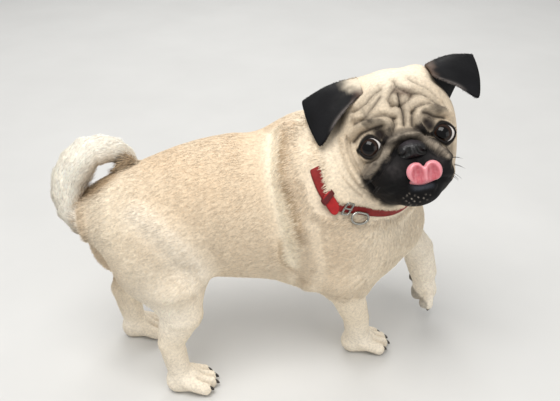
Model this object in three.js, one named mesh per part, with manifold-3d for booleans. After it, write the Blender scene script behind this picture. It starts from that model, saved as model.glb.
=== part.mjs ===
// Life-size standing pug with its head turned to its right side, one forepaw raised,
// tongue licking the nose, and a red strap collar. Millimetres, +Z up.
// The dog heads along +X, its left side is +Y, and its three standing feet rest on z = 0.
import * as THREE from 'three';
import Module from 'manifold-3d';

const wasm = await Module();
wasm.setup();

// Driving dimensions
const WITHERS_HEIGHT = 268;
const CHEST_HALF_WIDTH = 66;
const WAIST_HALF_WIDTH = 57;
const HEAD_SIZE = 0.949;
const EYE_RADIUS = 11;
const EYE_SPACING = 62.6;
const EAR_THICKNESS = 4;
const COLLAR_WIDTH = 11;
const COLLAR_THICKNESS = 2.6;
const CLAW_LENGTH = 7;
const JOINT_GAP = 0.3;

// Mesh cell sizes for each kind of node
const HEAD_CELL = 9;
const FACE_CELL = 5;
const NECK_CELL = 10.5;
const TORSO_CELL = 13.5;
const LEG_CELL = 9;
const PAW_CELL = 6;
const TAIL_CELL = 9;
const NOSE_CELL = 2.4;
const TONGUE_CELL = 2.8;
const FLATNESS = 0.1;

// Small vector helpers on plain triples
const add = (a, b) => [a[0] + b[0], a[1] + b[1], a[2] + b[2]];
const sub = (a, b) => [a[0] - b[0], a[1] - b[1], a[2] - b[2]];
const mul = (a, s) => [a[0] * s, a[1] * s, a[2] * s];
const dot = (a, b) => a[0] * b[0] + a[1] * b[1] + a[2] * b[2];
const len = (a) => Math.sqrt(dot(a, a));
const unit = (a) => mul(a, 1 / len(a));
const mix = (a, b, t) => a + (b - a) * t;
const lerp = (a, b, t) => [mix(a[0], b[0], t), mix(a[1], b[1], t), mix(a[2], b[2], t)];
const cross = (a, b) => [
  a[1] * b[2] - a[2] * b[1],
  a[2] * b[0] - a[0] * b[2],
  a[0] * b[1] - a[1] * b[0],
];
const clamp = (x, lo, hi) => Math.min(Math.max(x, lo), hi);

// Head frame: F looks out of the face, L is the dog's left, U is the crown
const HEAD_ORIGIN = [106.5, -32.3, 253.8];
const HEAD_F = unit([-0.105, -0.874, 0.474]);
const HEAD_L = unit(cross(cross(HEAD_F, [0.986, -0.032, 0.161]), HEAD_F));
const HEAD_U = cross(HEAD_F, HEAD_L);
const headWay = ([f, l, u]) => add(mul(HEAD_F, f), add(mul(HEAD_L, l), mul(HEAD_U, u)));
const headPoint = (q) => add(HEAD_ORIGIN, mul(headWay(q), HEAD_SIZE));
const toHead = (p) => {
  const d = mul(sub(p, HEAD_ORIGIN), 1 / HEAD_SIZE);
  return [dot(d, HEAD_F), dot(d, HEAD_L), dot(d, HEAD_U)];
};

// Distance-like fields, negative inside
const egg = (c, r) => (p) => {
  const x = p[0] - c[0];
  const y = p[1] - c[1];
  const z = p[2] - c[2];
  const near = Math.hypot(x / r[0], y / r[1], z / r[2]);
  const slope = Math.hypot(x / r[0] ** 2, y / r[1] ** 2, z / r[2] ** 2);
  return slope < 1e-9 ? -Math.min(...r) : (near * (near - 1)) / slope;
};
const turnedEgg = (c, r, axis, angle) => {
  const ca = Math.cos(angle);
  const sa = Math.sin(angle);
  const shape = egg([0, 0, 0], r);
  const i = (axis + 1) % 3;
  const j = (axis + 2) % 3;
  return (p) => {
    const q = sub(p, c);
    const t = [q[0], q[1], q[2]];
    t[i] = ca * q[i] + sa * q[j];
    t[j] = -sa * q[i] + ca * q[j];
    return shape(t);
  };
};
const limb = (a, b, ra, rb) => {
  const ab = sub(b, a);
  const l2 = dot(ab, ab);
  return (p) => {
    const t = clamp(dot(sub(p, a), ab) / l2, 0, 1);
    return len(sub(p, lerp(a, b, t))) - mix(ra, rb, t);
  };
};
const chain = (stations) => {
  const pieces = [];
  for (let i = 0; i + 1 < stations.length; i += 1) {
    const [a, ra] = stations[i];
    const [b, rb] = stations[i + 1];
    pieces.push(limb(a, b, ra, rb));
  }
  return (p) => pieces.reduce((d, f) => Math.min(d, f(p)), 1e9);
};
const smin = (a, b, k) => {
  const h = Math.max(k - Math.abs(a - b), 0) / k;
  return Math.min(a, b) - h * h * k * 0.25;
};
const smax = (a, b, k) => -smin(-a, -b, k);
const blend = (k, ...shapes) => (p) => shapes.reduce((d, f) => smin(d, f(p), k), 1e3);

// Trunk: an elliptical section that changes along the body
const TRUNK_STATIONS = [
  // x, centre height, half height, half width
  [-178, 180, 25, 31],
  [-160, 179, 39, 45],
  [-125, 181, 51.5, 54],
  [-85, 180.5, 67, WAIST_HALF_WIDTH],
  [-45, 180.5, 74.5, WAIST_HALF_WIDTH + 2],
  [-10, 178, 77, WAIST_HALF_WIDTH + 6],
  [30, 176, WITHERS_HEIGHT - 176, CHEST_HALF_WIDTH],
  [65, 168, 84, CHEST_HALF_WIDTH - 2],
  [98, 160, 62, 56],
  [122, 158, 36, 36],
];
const trunkAt = (x) => {
  const s = TRUNK_STATIONS;
  if (x <= s[0][0]) return s[0];
  if (x >= s[s.length - 1][0]) return s[s.length - 1];
  let i = 0;
  while (x > s[i + 1][0]) i += 1;
  const t = (x - s[i][0]) / (s[i + 1][0] - s[i][0]);
  const before = s[Math.max(i - 1, 0)];
  const after = s[Math.min(i + 2, s.length - 1)];
  return [0, 1, 2, 3].map((c) => {
    const step = s[i + 1][0] - s[i][0];
    const m0 = ((s[i + 1][c] - before[c]) / (s[i + 1][0] - before[0])) * step;
    const m1 = ((after[c] - s[i][c]) / (after[0] - s[i][0])) * step;
    const t2 = t * t;
    const t3 = t2 * t;
    return (
      (2 * t3 - 3 * t2 + 1) * s[i][c] +
      (t3 - 2 * t2 + t) * m0 +
      (3 * t2 - 2 * t3) * s[i + 1][c] +
      (t3 - t2) * m1
    );
  });
};
const trunk = (p) => {
  const first = TRUNK_STATIONS[0][0];
  const last = TRUNK_STATIONS[TRUNK_STATIONS.length - 1][0];
  const x = clamp(p[0], first, last);
  const [, zc, hh, hw] = trunkAt(x);
  const over = p[0] - x;
  const round = over < 0 ? 12 : 26;
  const near = Math.hypot(over / round, p[1] / hw, (p[2] - zc) / hh);
  const slope = Math.hypot(over / round ** 2, p[1] / hw ** 2, (p[2] - zc) / hh ** 2);
  return slope < 1e-9 ? -Math.min(hh, hw) : (near * (near - 1)) / slope;
};

// Neck, chest and the upper parts of the legs
const NECK_BASE = [38, 0, 208];
const NECK_TOP = [90, -6, 228];
const neck = limb(NECK_BASE, NECK_TOP, 59, 53);
const chest = egg([92, 0, 150], [44, 50, 50]);
const shoulderRight = turnedEgg([58, -40, 150], [36, 30, 62], 1, -0.25);
const shoulderLeft = turnedEgg([84, 38, 156], [36, 28, 52], 1, -0.5);
const thighRight = turnedEgg([-116, -36, 150], [46, 30, 56], 1, -0.35);
const thighLeft = turnedEgg([-146, 36, 140], [44, 30, 54], 1, 0.12);

// Standing right foreleg, raised left foreleg, and both hind legs
const foreRight = chain([
  [[56, -42, 122], 27],
  [[66, -36, 92], 19],
  [[80, -24, 50], 14.5],
  [[84, -18, 22], 14],
]);
const foreLeft = chain([
  [[96, 40, 160], 30],
  [[124, 36, 134], 24],
  [[158, 28, 96], 18.5],
  [[167, 26, 66], 16],
]);
const hindRight = chain([
  [[-104, -44, 124], 30],
  [[-100, -48, 96], 23],
  [[-112, -50, 62], 14],
  [[-106, -50, 22], 12.5],
]);
const hindLeft = chain([
  [[-134, 40, 120], 31],
  [[-144, 42, 94], 25],
  [[-160, 42, 66], 15],
  [[-154, 42, 22], 12.5],
]);

// A paw: a pad body, four toes fanned across it
const FOOT_SPREAD = 11;
const makePaw = (heel, forward, side, up, toeDrop, toeReach) => {
  const at = (f, s, u) => add(heel, add(mul(forward, f), add(mul(side, s), mul(up, u))));
  const toes = [-1.5, -0.5, 0.5, 1.5].map((i) => {
    const reach = toeReach - (Math.abs(i) > 1 ? 6 : 0);
    const inner = at(6, i * FOOT_SPREAD * 0.62, 3);
    const tip = at(reach, i * FOOT_SPREAD * 0.82, toeDrop);
    return { inner, tip, i };
  });
  const field = blend(
    3.5,
    limb(at(-4, 0, 0), at(8, 0, 0), 13.5, 14.5),
    ...toes.map((t) => limb(t.inner, t.tip, 8, 7.2)),
  );
  const claws = toes.map((t) => ({
    root: add(t.tip, add(mul(forward, 4), mul(up, 1.5))),
    dir: unit(add(mul(forward, 1), mul(up, -0.55))),
  }));
  return { field, claws, at };
};
const FORWARD = [1, 0, 0];
const LEFTWARD = [0, 1, 0];
const UPWARD = [0, 0, 1];
const RAISED_DOWN = unit([0.2, -0.06, -1]);
const RAISED_AIM = [1, -0.25, 0.15];
const raisedFront = unit(sub(RAISED_AIM, mul(RAISED_DOWN, dot(RAISED_AIM, RAISED_DOWN))));
const raisedSide = cross(raisedFront, RAISED_DOWN);
const PAWS = {
  forepaw_right: makePaw([84, -16, 11.5], FORWARD, LEFTWARD, UPWARD, -4, 28),
  forepaw_left: makePaw([170, 26, 48], RAISED_DOWN, raisedSide, raisedFront, 1, 25),
  hindpaw_right: makePaw([-104, -50, 11.5], FORWARD, LEFTWARD, UPWARD, -4, 28),
  hindpaw_left: makePaw([-152, 42, 11.5], FORWARD, LEFTWARD, UPWARD, -4, 28),
};

// Tail: a thick curl carried over the croup
const TAIL_STATIONS = [
  [[-166, 0, 168], 18],
  [[-184, -1, 176], 15],
  [[-195, 1, 188], 14.5],
  [[-197, 4, 204], 16.5],
  [[-195, 7, 219], 16.5],
  [[-187, 10, 232], 17],
  [[-178, 16, 240], 15.5],
  [[-165, 24, 240], 14.5],
  [[-153, 32, 235], 13],
  [[-144, 40, 224], 11.5],
  [[-139, 47, 210], 9.5],
  [[-138, 52, 198], 6.5],
];
const tail = chain(TAIL_STATIONS);

// Two soft skin rolls that run down the shoulder
const shoulderRolls = chain([
  [[10, -16, 262], 12],
  [[4, -50, 232], 12],
  [[12, -60, 190], 12],
  [[24, -56, 150], 11],
  [[26, -46, 118], 11],
]);

// Head masses in the head frame
const skull = egg([-8, 0, 17], [57, 59, 55]);
const earRoots = blend(8, egg([-12, -26, 54], [20, 18, 15]), egg([4, 26, 55], [20, 15, 15]));
const muzzle = egg([18, 1, -27], [40, 43, 33]);
const upperLips = blend(
  6,
  egg([38, -16, -25], [22, 20, 18]),
  egg([38, 18, -25], [22, 20, 18]),
);
const chin = egg([36, 2, -47], [22, 22, 14]);
const cheekRight = egg([-6, -30, -12], [36, 38, 44]);
const cheekLeft = egg([-4, 24, -8], [34, 29, 36]);
const ruff = egg([-26, -22, -10], [44, 58, 54]);
// Wrinkles of the face: height, half width, then a path of [left, up] seen from the front
const FOLDS = [
  [5, 5, [[-41, -24], [-33, -14], [-26, -7], [-20, -2], [-13, 3], [-6, 5.5], [0, 5.5], [6, 3.5]]],
  [5, 5, [[6, 3.5], [13, -1], [19, -7], [24, -13], [29, -21]]],
  [4, 5, [[-46, 12], [-39, 19.5], [-31, 22], [-23, 22.5], [-16, 21], [-13, 15], [-16, 7]]],
  [4, 5, [[45, 14], [36, 20], [28, 23.5], [20, 25], [13, 23], [10, 17], [12, 9]]],
  [3, 5, [[-7, 37], [-18, 36], [-29, 31], [-38, 27]]],
  [3, 5, [[7, 37], [18, 36], [27, 33], [37, 24]]],
  [3, 5, [[-5, 52], [-16, 48], [-28, 41], [-38, 36]]],
  [3, 5, [[10, 52], [20, 46], [31, 38]]],
  [3, 5, [[-54, 8], [-56, -3], [-53, -15], [-49, -26]]],
  [-3, 3.4, [[-0.5, 34], [0, 26], [0, 18], [-1, 13]]],
];
const pathGap = (x, y, path) => {
  if (path.length === 1) return Math.hypot(x - path[0][0], y - path[0][1]);
  let best = 1e9;
  for (let i = 0; i + 1 < path.length; i += 1) {
    const [ax, ay] = path[i];
    const bx = path[i + 1][0] - ax;
    const by = path[i + 1][1] - ay;
    const t = clamp(((x - ax) * bx + (y - ay) * by) / (bx * bx + by * by), 0, 1);
    best = Math.min(best, Math.hypot(x - ax - bx * t, y - ay - by * t));
  }
  return best;
};
const foldHeight = (q) => {
  const front = clamp((q[0] - 4) / 20, 0, 1);
  if (front === 0) return 0;
  let h = 0;
  for (const [height, width, path] of FOLDS) {
    const d = pathGap(q[1], q[2], path) / width;
    if (d < 2.5) h += height * Math.exp(-d * d);
  }
  return h * front;
};
const eyeCentre = (side) => [36.5, (side * EYE_SPACING) / 2 / HEAD_SIZE, 0];
const socket = (side) => egg([50, side * 33, 0], [13, 13, 12]);
const socketRight = socket(-1);
const socketLeft = socket(1);
const headMass = (q) => {
  let d = smin(skull(q), muzzle(q), 14);
  d = smin(d, earRoots(q), 7);
  d = smin(d, cheekRight(q), 12);
  d = smin(d, cheekLeft(q), 12);
  d = smin(d, ruff(q), 18);
  d = smin(d, upperLips(q), 7);
  d = smin(d, chin(q), 5);
  d -= foldHeight(q);
  d = smax(d, -socketRight(q), 4);
  d = smax(d, -socketLeft(q), 4);
  return d;
};
const headField = (p) => headMass(toHead(p)) * HEAD_SIZE;

// The whole coat outline
const bodyField = (p) => {
  let d = trunk(p);
  d = smin(d, chest(p), 24);
  d = smin(d, neck(p), 26);
  d = smin(d, shoulderRight(p), 14);
  d = smin(d, shoulderLeft(p), 18);
  d = smin(d, thighRight(p), 16);
  d = smin(d, thighLeft(p), 16);
  d = smin(d, shoulderRolls(p), 10);
  d = smin(d, foreRight(p), 12);
  d = smin(d, foreLeft(p), 12);
  d = smin(d, hindRight(p), 10);
  d = smin(d, hindLeft(p), 10);
  return d;
};
const COLLAR_NORMAL = unit([0.393, -0.658, 0.642]);
const COLLAR_OFFSET = 199.7;
const dogField = (p) => {
  const along = dot(p, COLLAR_NORMAL) - COLLAR_OFFSET;
  const valley = 3 * Math.exp(-((along / 9) ** 2));
  return smin(bodyField(p), headField(p), 14) + valley;
};

// Closed mesh of a field inside a box of cubic cells
const CORNERS = [
  [0, 0, 0],
  [1, 0, 0],
  [0, 1, 0],
  [1, 1, 0],
  [0, 0, 1],
  [1, 0, 1],
  [0, 1, 1],
  [1, 1, 1],
];
const EDGES = [];
for (let i = 0; i < 8; i += 1) {
  for (let b = 0; b < 3; b += 1) {
    const j = i | (1 << b);
    if (j !== i) EDGES.push([i, j]);
  }
}
const sampleGrid = (field, lo, hi, cell) => {
  const n = [0, 1, 2].map((a) => Math.ceil((hi[a] - lo[a]) / cell) + 1);
  const v = new Float64Array(n[0] * n[1] * n[2]);
  const at = (i, j, k) => i + n[0] * (j + n[1] * k);
  for (let k = 0; k < n[2]; k += 1) {
    for (let j = 0; j < n[1]; j += 1) {
      for (let i = 0; i < n[0]; i += 1) {
        const rim =
          i === 0 || j === 0 || k === 0 || i === n[0] - 1 || j === n[1] - 1 || k === n[2] - 1;
        const d = field([lo[0] + i * cell, lo[1] + j * cell, lo[2] + k * cell]);
        v[at(i, j, k)] = rim ? Math.max(d, cell * 0.4) : d || 1e-6;
      }
    }
  }
  return { n, v, at };
};
// A face whose corners alternate in sign is opened up, so that the mesh stays a clean surface
const settleFaces = ({ n, v, at }) => {
  for (let pass = 0; pass < 12; pass += 1) {
    let changed = false;
    for (let k = 1; k < n[2] - 1; k += 1) {
      for (let j = 1; j < n[1] - 1; j += 1) {
        for (let i = 1; i < n[0] - 1; i += 1) {
          const quads = [
            [at(i, j, k), at(i + 1, j, k), at(i + 1, j + 1, k), at(i, j + 1, k)],
            [at(i, j, k), at(i, j + 1, k), at(i, j + 1, k + 1), at(i, j, k + 1)],
            [at(i, j, k), at(i + 1, j, k), at(i + 1, j, k + 1), at(i, j, k + 1)],
          ];
          for (const q of quads) {
            const s = q.map((c) => v[c] < 0);
            if (s[0] === s[2] && s[1] === s[3] && s[0] !== s[1]) {
              const inside = q.filter((c) => v[c] < 0);
              const pick = v[inside[0]] > v[inside[1]] ? inside[0] : inside[1];
              v[pick] = 1e-3;
              changed = true;
            }
          }
        }
      }
    }
    if (!changed) return;
  }
};
const slopeOf = (field, p, h) => [
  (field([p[0] + h, p[1], p[2]]) - field([p[0] - h, p[1], p[2]])) / (2 * h),
  (field([p[0], p[1] + h, p[2]]) - field([p[0], p[1] - h, p[2]])) / (2 * h),
  (field([p[0], p[1], p[2] + h]) - field([p[0], p[1], p[2] - h])) / (2 * h),
];
const settleOnSurface = (field, p, reach) => {
  let q = p;
  for (let i = 0; i < 3; i += 1) {
    const d = field(q);
    const g = slopeOf(field, q, 0.2);
    const g2 = Math.max(dot(g, g), 0.05);
    q = sub(q, mul(g, d / g2));
  }
  const move = sub(q, p);
  const far = len(move);
  return far > reach ? add(p, mul(move, reach / far)) : q;
};
const meshField = (field, lo, hi, cell) => {
  const grid = sampleGrid(field, lo, hi, cell);
  settleFaces(grid);
  const { n, v, at } = grid;
  const ids = new Map();
  const verts = [];
  const cellAt = (i, j, k) => {
    const key = at(i, j, k);
    if (ids.has(key)) return ids.get(key);
    let sum = [0, 0, 0];
    let count = 0;
    const val = CORNERS.map((c) => v[at(i + c[0], j + c[1], k + c[2])]);
    for (const [a, b] of EDGES) {
      if (val[a] < 0 !== val[b] < 0) {
        const t = val[a] / (val[a] - val[b]);
        sum = add(sum, lerp(CORNERS[a], CORNERS[b], t));
        count += 1;
      }
    }
    const c = mul(sum, 1 / count);
    let p = [lo[0] + (i + c[0]) * cell, lo[1] + (j + c[1]) * cell, lo[2] + (k + c[2]) * cell];
    const rim =
      i === 0 || j === 0 || k === 0 || i === n[0] - 2 || j === n[1] - 2 || k === n[2] - 2;
    if (!rim) p = settleOnSurface(field, p, cell * 0.45);
    verts.push(...p);
    ids.set(key, verts.length / 3 - 1);
    return verts.length / 3 - 1;
  };
  const tris = [];
  const quad = (a, b, c, d, flip) => {
    if (flip) tris.push(a, c, b, a, d, c);
    else tris.push(a, b, c, a, c, d);
  };
  for (let k = 0; k < n[2]; k += 1) {
    for (let j = 0; j < n[1]; j += 1) {
      for (let i = 0; i < n[0]; i += 1) {
        const here = v[at(i, j, k)] < 0;
        if (i + 1 < n[0] && j > 0 && k > 0 && here !== v[at(i + 1, j, k)] < 0) {
          const q = [cellAt(i, j - 1, k - 1), cellAt(i, j, k - 1), cellAt(i, j, k), cellAt(i, j - 1, k)];
          quad(...q, !here);
        }
        if (j + 1 < n[1] && i > 0 && k > 0 && here !== v[at(i, j + 1, k)] < 0) {
          const q = [cellAt(i - 1, j, k - 1), cellAt(i - 1, j, k), cellAt(i, j, k), cellAt(i, j, k - 1)];
          quad(...q, !here);
        }
        if (k + 1 < n[2] && i > 0 && j > 0 && here !== v[at(i, j, k + 1)] < 0) {
          const q = [cellAt(i - 1, j - 1, k), cellAt(i, j - 1, k), cellAt(i, j, k), cellAt(i - 1, j, k)];
          quad(...q, !here);
        }
      }
    }
  }
  return solidFrom(...thinned(verts, tris, cell * FLATNESS));
};

// Fewer triangles on nearly flat ground: an edge closes to a point that stays within the
// tolerance of every plane met so far, and no triangle may turn over
function thinned(verts, tris, tolerance) {
  const at = [];
  for (let i = 0; i < verts.length; i += 3) at.push([verts[i], verts[i + 1], verts[i + 2]]);
  const faces = [];
  for (let t = 0; t < tris.length; t += 3) faces.push([tris[t], tris[t + 1], tris[t + 2]]);
  const facing = (a, b, c) => cross(sub(b, a), sub(c, a));
  const around = at.map(() => new Set());
  const planes = at.map(() => []);
  faces.forEach((f, i) => {
    const n = unit(facing(...f.map((v) => at[v])));
    f.forEach((v) => {
      around[v].add(i);
      planes[v].push([n, dot(n, at[v])]);
    });
  });
  const off = (p, list) => list.reduce((m, [n, d]) => Math.max(m, Math.abs(dot(n, p) - d)), 0);
  const ring = (v) => new Set([...around[v]].flatMap((i) => faces[i]).filter((w) => w !== v));
  const turns = (v, other, p) =>
    [...around[v]].some((i) => {
      const f = faces[i];
      if (f.includes(other)) return false;
      const old = facing(...f.map((w) => at[w]));
      const fresh = facing(...f.map((w) => (w === v ? p : at[w])));
      const longest = Math.max(...f.map((w, k) => len(sub(at[w], at[f[(k + 1) % 3]]))));
      return dot(old, fresh) < 0.5 * len(old) * len(fresh) || len(fresh) < 0.12 * longest ** 2;
    });
  for (let pass = 0; pass < 14; pass += 1) {
    const wishes = [];
    at.forEach((p, a) => {
      for (const b of around[a].size ? ring(a) : []) {
        if (b <= a) continue;
        const all = [...planes[a], ...planes[b]];
        const spots = [lerp(p, at[b], 0.5), p, at[b]];
        const costs = spots.map((q) => off(q, all));
        const best = costs.indexOf(Math.min(...costs));
        if (costs[best] < tolerance) wishes.push([costs[best], a, b, spots[best], all]);
      }
    });
    wishes.sort((x, y) => x[0] - y[0]);
    const locked = new Set();
    let closed = 0;
    for (const [, a, b, p, all] of wishes) {
      if (locked.has(a) || locked.has(b)) continue;
      const ringA = ring(a);
      const ringB = ring(b);
      const shared = [...ringA].filter((v) => ringB.has(v));
      if (shared.length !== 2 || ringA.size + ringB.size > 16) continue;
      if (turns(a, b, p) || turns(b, a, p)) continue;
      [...ringA, ...ringB].forEach((v) => locked.add(v));
      for (const i of [...around[b]]) {
        if (faces[i].includes(a)) {
          faces[i].forEach((v) => around[v].delete(i));
          faces[i] = null;
        } else {
          faces[i] = faces[i].map((v) => (v === b ? a : v));
          around[a].add(i);
        }
      }
      around[b].clear();
      at[a] = p;
      planes[a] = all;
      closed += 1;
    }
    if (closed === 0) break;
  }
  const ids = new Map();
  const outVerts = [];
  const outTris = faces.filter(Boolean).flat().map((v) => {
    if (!ids.has(v)) {
      ids.set(v, outVerts.length / 3);
      outVerts.push(...at[v]);
    }
    return ids.get(v);
  });
  return [outVerts, outTris];
}

// Solids from vertex lists and from primitive geometry
function solidFrom(verts, tris) {
  let volume = 0;
  const corner = (i) => [verts[i * 3], verts[i * 3 + 1], verts[i * 3 + 2]];
  for (let t = 0; t < tris.length; t += 3) {
    volume += dot(corner(tris[t]), cross(corner(tris[t + 1]), corner(tris[t + 2])));
  }
  if (volume < 0) tris.reverse();
  const mesh = new wasm.Mesh({
    numProp: 3,
    vertProperties: Float32Array.from(verts),
    triVerts: Uint32Array.from(tris),
  });
  mesh.merge();
  return new wasm.Manifold(mesh);
}
const solidOf = (geometry) => {
  const g = geometry.index ? geometry.toNonIndexed() : geometry;
  const pos = g.attributes.position.array;
  const seen = new Map();
  const verts = [];
  const tris = [];
  for (let t = 0; t < pos.length; t += 9) {
    const ids = [0, 3, 6].map((o) => {
      const p = [pos[t + o], pos[t + o + 1], pos[t + o + 2]];
      const key = p.map((c) => Math.round(c * 1e4)).join(',');
      if (!seen.has(key)) {
        seen.set(key, verts.length / 3);
        verts.push(...p);
      }
      return seen.get(key);
    });
    if (ids[0] !== ids[1] && ids[1] !== ids[2] && ids[0] !== ids[2]) tris.push(...ids);
  }
  return solidFrom(verts, tris);
};
const boxFrom = (centre, size, forward = FORWARD, side = LEFTWARD) => {
  const f = unit(forward);
  const u = unit(cross(f, side));
  const s = cross(u, f);
  const g = new THREE.BoxGeometry(size[0], size[1], size[2]);
  const m = new THREE.Matrix4().makeBasis(
    new THREE.Vector3(...f),
    new THREE.Vector3(...s),
    new THREE.Vector3(...u),
  );
  m.setPosition(...centre);
  g.applyMatrix4(m);
  return solidOf(g);
};
// A large block on the far side of a plane
const BLOCK = 900;
const beyond = (point, normal) => {
  const n = unit(normal);
  const side = Math.abs(n[1]) < 0.9 ? LEFTWARD : FORWARD;
  return boxFrom(add(point, mul(n, BLOCK / 2)), [BLOCK, BLOCK, BLOCK], n, side);
};
// A tube along points, with a radius at each point, flat or pointed ends
const tubeAlong = (points, radii, sides) => {
  const verts = [];
  const tris = [];
  let normal = null;
  points.forEach((p, i) => {
    const before = points[Math.max(i - 1, 0)];
    const after = points[Math.min(i + 1, points.length - 1)];
    const dir = unit(sub(after, before));
    const guess = normal || (Math.abs(dir[2]) < 0.8 ? UPWARD : FORWARD);
    normal = unit(sub(guess, mul(dir, dot(guess, dir))));
    const other = cross(dir, normal);
    for (let s = 0; s < sides; s += 1) {
      const a = (2 * Math.PI * s) / sides;
      const off = add(mul(normal, Math.cos(a) * radii[i]), mul(other, Math.sin(a) * radii[i]));
      verts.push(...add(p, off));
    }
  });
  for (let i = 0; i + 1 < points.length; i += 1) {
    for (let s = 0; s < sides; s += 1) {
      const a = i * sides + s;
      const b = i * sides + ((s + 1) % sides);
      tris.push(a, b, b + sides, a, b + sides, a + sides);
    }
  }
  const startId = verts.length / 3;
  verts.push(...points[0]);
  verts.push(...points[points.length - 1]);
  const lastRing = (points.length - 1) * sides;
  for (let s = 0; s < sides; s += 1) {
    const t = (s + 1) % sides;
    tris.push(startId, t, s);
    tris.push(startId + 1, lastRing + s, lastRing + t);
  }
  return solidFrom(verts, tris);
};
// A closed ring swept through points, with a section given as offsets along two directions
const ringAlong = (stations) => {
  const verts = [];
  const tris = [];
  const sides = stations[0].length;
  stations.forEach((ring) => ring.forEach((p) => verts.push(...p)));
  for (let i = 0; i < stations.length; i += 1) {
    const next = (i + 1) % stations.length;
    for (let s = 0; s < sides; s += 1) {
      const t = (s + 1) % sides;
      const a = i * sides + s;
      const b = i * sides + t;
      const c = next * sides + t;
      const d = next * sides + s;
      tris.push(a, b, c, a, c, d);
    }
  }
  return solidFrom(verts, tris);
};

// Flesh nodes, cut from the one outline along planes
const grown = (solid, field, amount) => {
  const mesh = solid.getMesh();
  const verts = [];
  for (let i = 0; i < mesh.vertProperties.length; i += mesh.numProp) {
    const p = [0, 1, 2].map((a) => mesh.vertProperties[i + a]);
    verts.push(...add(p, mul(unit(slopeOf(field, p, 0.5)), amount)));
  }
  return solidFrom(verts, Array.from(mesh.triVerts));
};
const mainBody = (solid) =>
  solid.decompose().reduce((best, part) => (part.volume() > best.volume() ? part : best));
const wholeIn = (lo, hi, cell) => meshField(dogField, lo, hi, cell);

const HEAD_CUT = mul(COLLAR_NORMAL, COLLAR_OFFSET - 1);
const SHOULDER_NORMAL = unit([0.66, -0.33, 0.67]);
const SHOULDER_CUT = mul(SHOULDER_NORMAL, 172);

const headSide = beyond(HEAD_CUT, COLLAR_NORMAL);
const headSideWide = beyond(sub(HEAD_CUT, mul(COLLAR_NORMAL, JOINT_GAP)), COLLAR_NORMAL);
const neckSide = beyond(SHOULDER_CUT, SHOULDER_NORMAL);
const neckSideWide = beyond(sub(SHOULDER_CUT, mul(SHOULDER_NORMAL, JOINT_GAP)), SHOULDER_NORMAL);

// Leg blocks: where each leg is parted from the trunk
const foreRightPart = (g) =>
  boxFrom([70, -60, 52], [90 + g, 76 + g, 108 + g], FORWARD, LEFTWARD);
const foreLeftPart = (g) => {
  const dir = unit([0.86, 0.1, -0.5]);
  return boxFrom(add([122, 30, 130], mul(dir, 100 - g / 2)), [200, 130, 100], dir, LEFTWARD);
};
const hindRightPart = (g) => {
  const up = unit([0.34, 0, 0.94]);
  const f = cross(LEFTWARD, up);
  const top = add([-118, -66, 158], mul(up, g / 2));
  return boxFrom(sub(top, mul(up, 100)), [108 + g, 92 + g, 200], f, LEFTWARD);
};
const hindLeftPart = (g) => {
  const up = unit([0.2, 0, 0.98]);
  const f = cross(LEFTWARD, up);
  const top = add([-142, 66, 156], mul(up, g / 2));
  return boxFrom(sub(top, mul(up, 100)), [108 + g, 92 + g, 200], f, LEFTWARD);
};

const tailBody = meshField(tail, [-222, -32, 134], [-92, 82, 272], TAIL_CELL);
const bodyMesh = wholeIn([-214, -92, 60], [150, 92, 292], TORSO_CELL);
const bodyGrown = grown(bodyMesh, dogField, JOINT_GAP);

const floorUp = beyond([0, 0, 0], UPWARD);
const solids = {};

solids.torso = bodyMesh
  .subtract(neckSideWide)
  .subtract(foreRightPart(JOINT_GAP * 2))
  .subtract(foreLeftPart(JOINT_GAP * 2))
  .subtract(hindRightPart(JOINT_GAP * 2))
  .subtract(hindLeftPart(JOINT_GAP * 2));
solids.tail = tailBody.subtract(bodyGrown);

const neckMesh = wholeIn([-30, -92, 96], [180, 92, 306], NECK_CELL);
solids.neck = neckMesh
  .intersect(neckSide)
  .subtract(headSideWide)
  .subtract(foreLeftPart(JOINT_GAP * 2))
  .subtract(foreRightPart(JOINT_GAP * 2));

const legMesh = (lo, hi) => wholeIn(lo, hi, LEG_CELL);
const pawCuts = {
  forepaw_right: { point: [82, -18, 30], normal: [0.1, 0, -1] },
  forepaw_left: { point: [168, 26, 62], normal: RAISED_DOWN },
  hindpaw_right: { point: [-106, -50, 30], normal: [0.1, 0, -1] },
  hindpaw_left: { point: [-155, 42, 30], normal: [0.1, 0, -1] },
};
const legs = {
  foreleg_right: {
    part: foreRightPart,
    lo: [20, -92, 4],
    hi: [124, 10, 130],
    paw: 'forepaw_right',
  },
  foreleg_left: {
    part: foreLeftPart,
    lo: [70, -30, 30],
    hi: [215, 90, 190],
    paw: 'forepaw_left',
  },
  hindleg_right: {
    part: hindRightPart,
    lo: [-190, -92, 4],
    hi: [-46, 4, 200],
    paw: 'hindpaw_right',
  },
  hindleg_left: {
    part: hindLeftPart,
    lo: [-214, -4, 4],
    hi: [-70, 92, 200],
    paw: 'hindpaw_left',
  },
};
for (const [name, leg] of Object.entries(legs)) {
  const paw = PAWS[leg.paw];
  const cut = pawCuts[leg.paw];
  const upper = legMesh(leg.lo, leg.hi).intersect(leg.part(0));
  solids[name] = upper.subtract(beyond(sub(cut.point, mul(unit(cut.normal), JOINT_GAP)), cut.normal));
  const centre = paw.at(10, 0, 0);
  const lo = sub(centre, [46, 44, 46]);
  const hi = add(centre, [46, 44, 46]);
  const field = (p) => smin(dogField(p), paw.field(p), 6);
  const mesh = meshField(field, lo, hi, PAW_CELL);
  solids[leg.paw] = mesh.intersect(beyond(cut.point, cut.normal)).intersect(floorUp);
}

for (const part of [hindRightPart, hindLeftPart]) {
  solids.tail = solids.tail.subtract(part(JOINT_GAP * 2));
}

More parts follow.
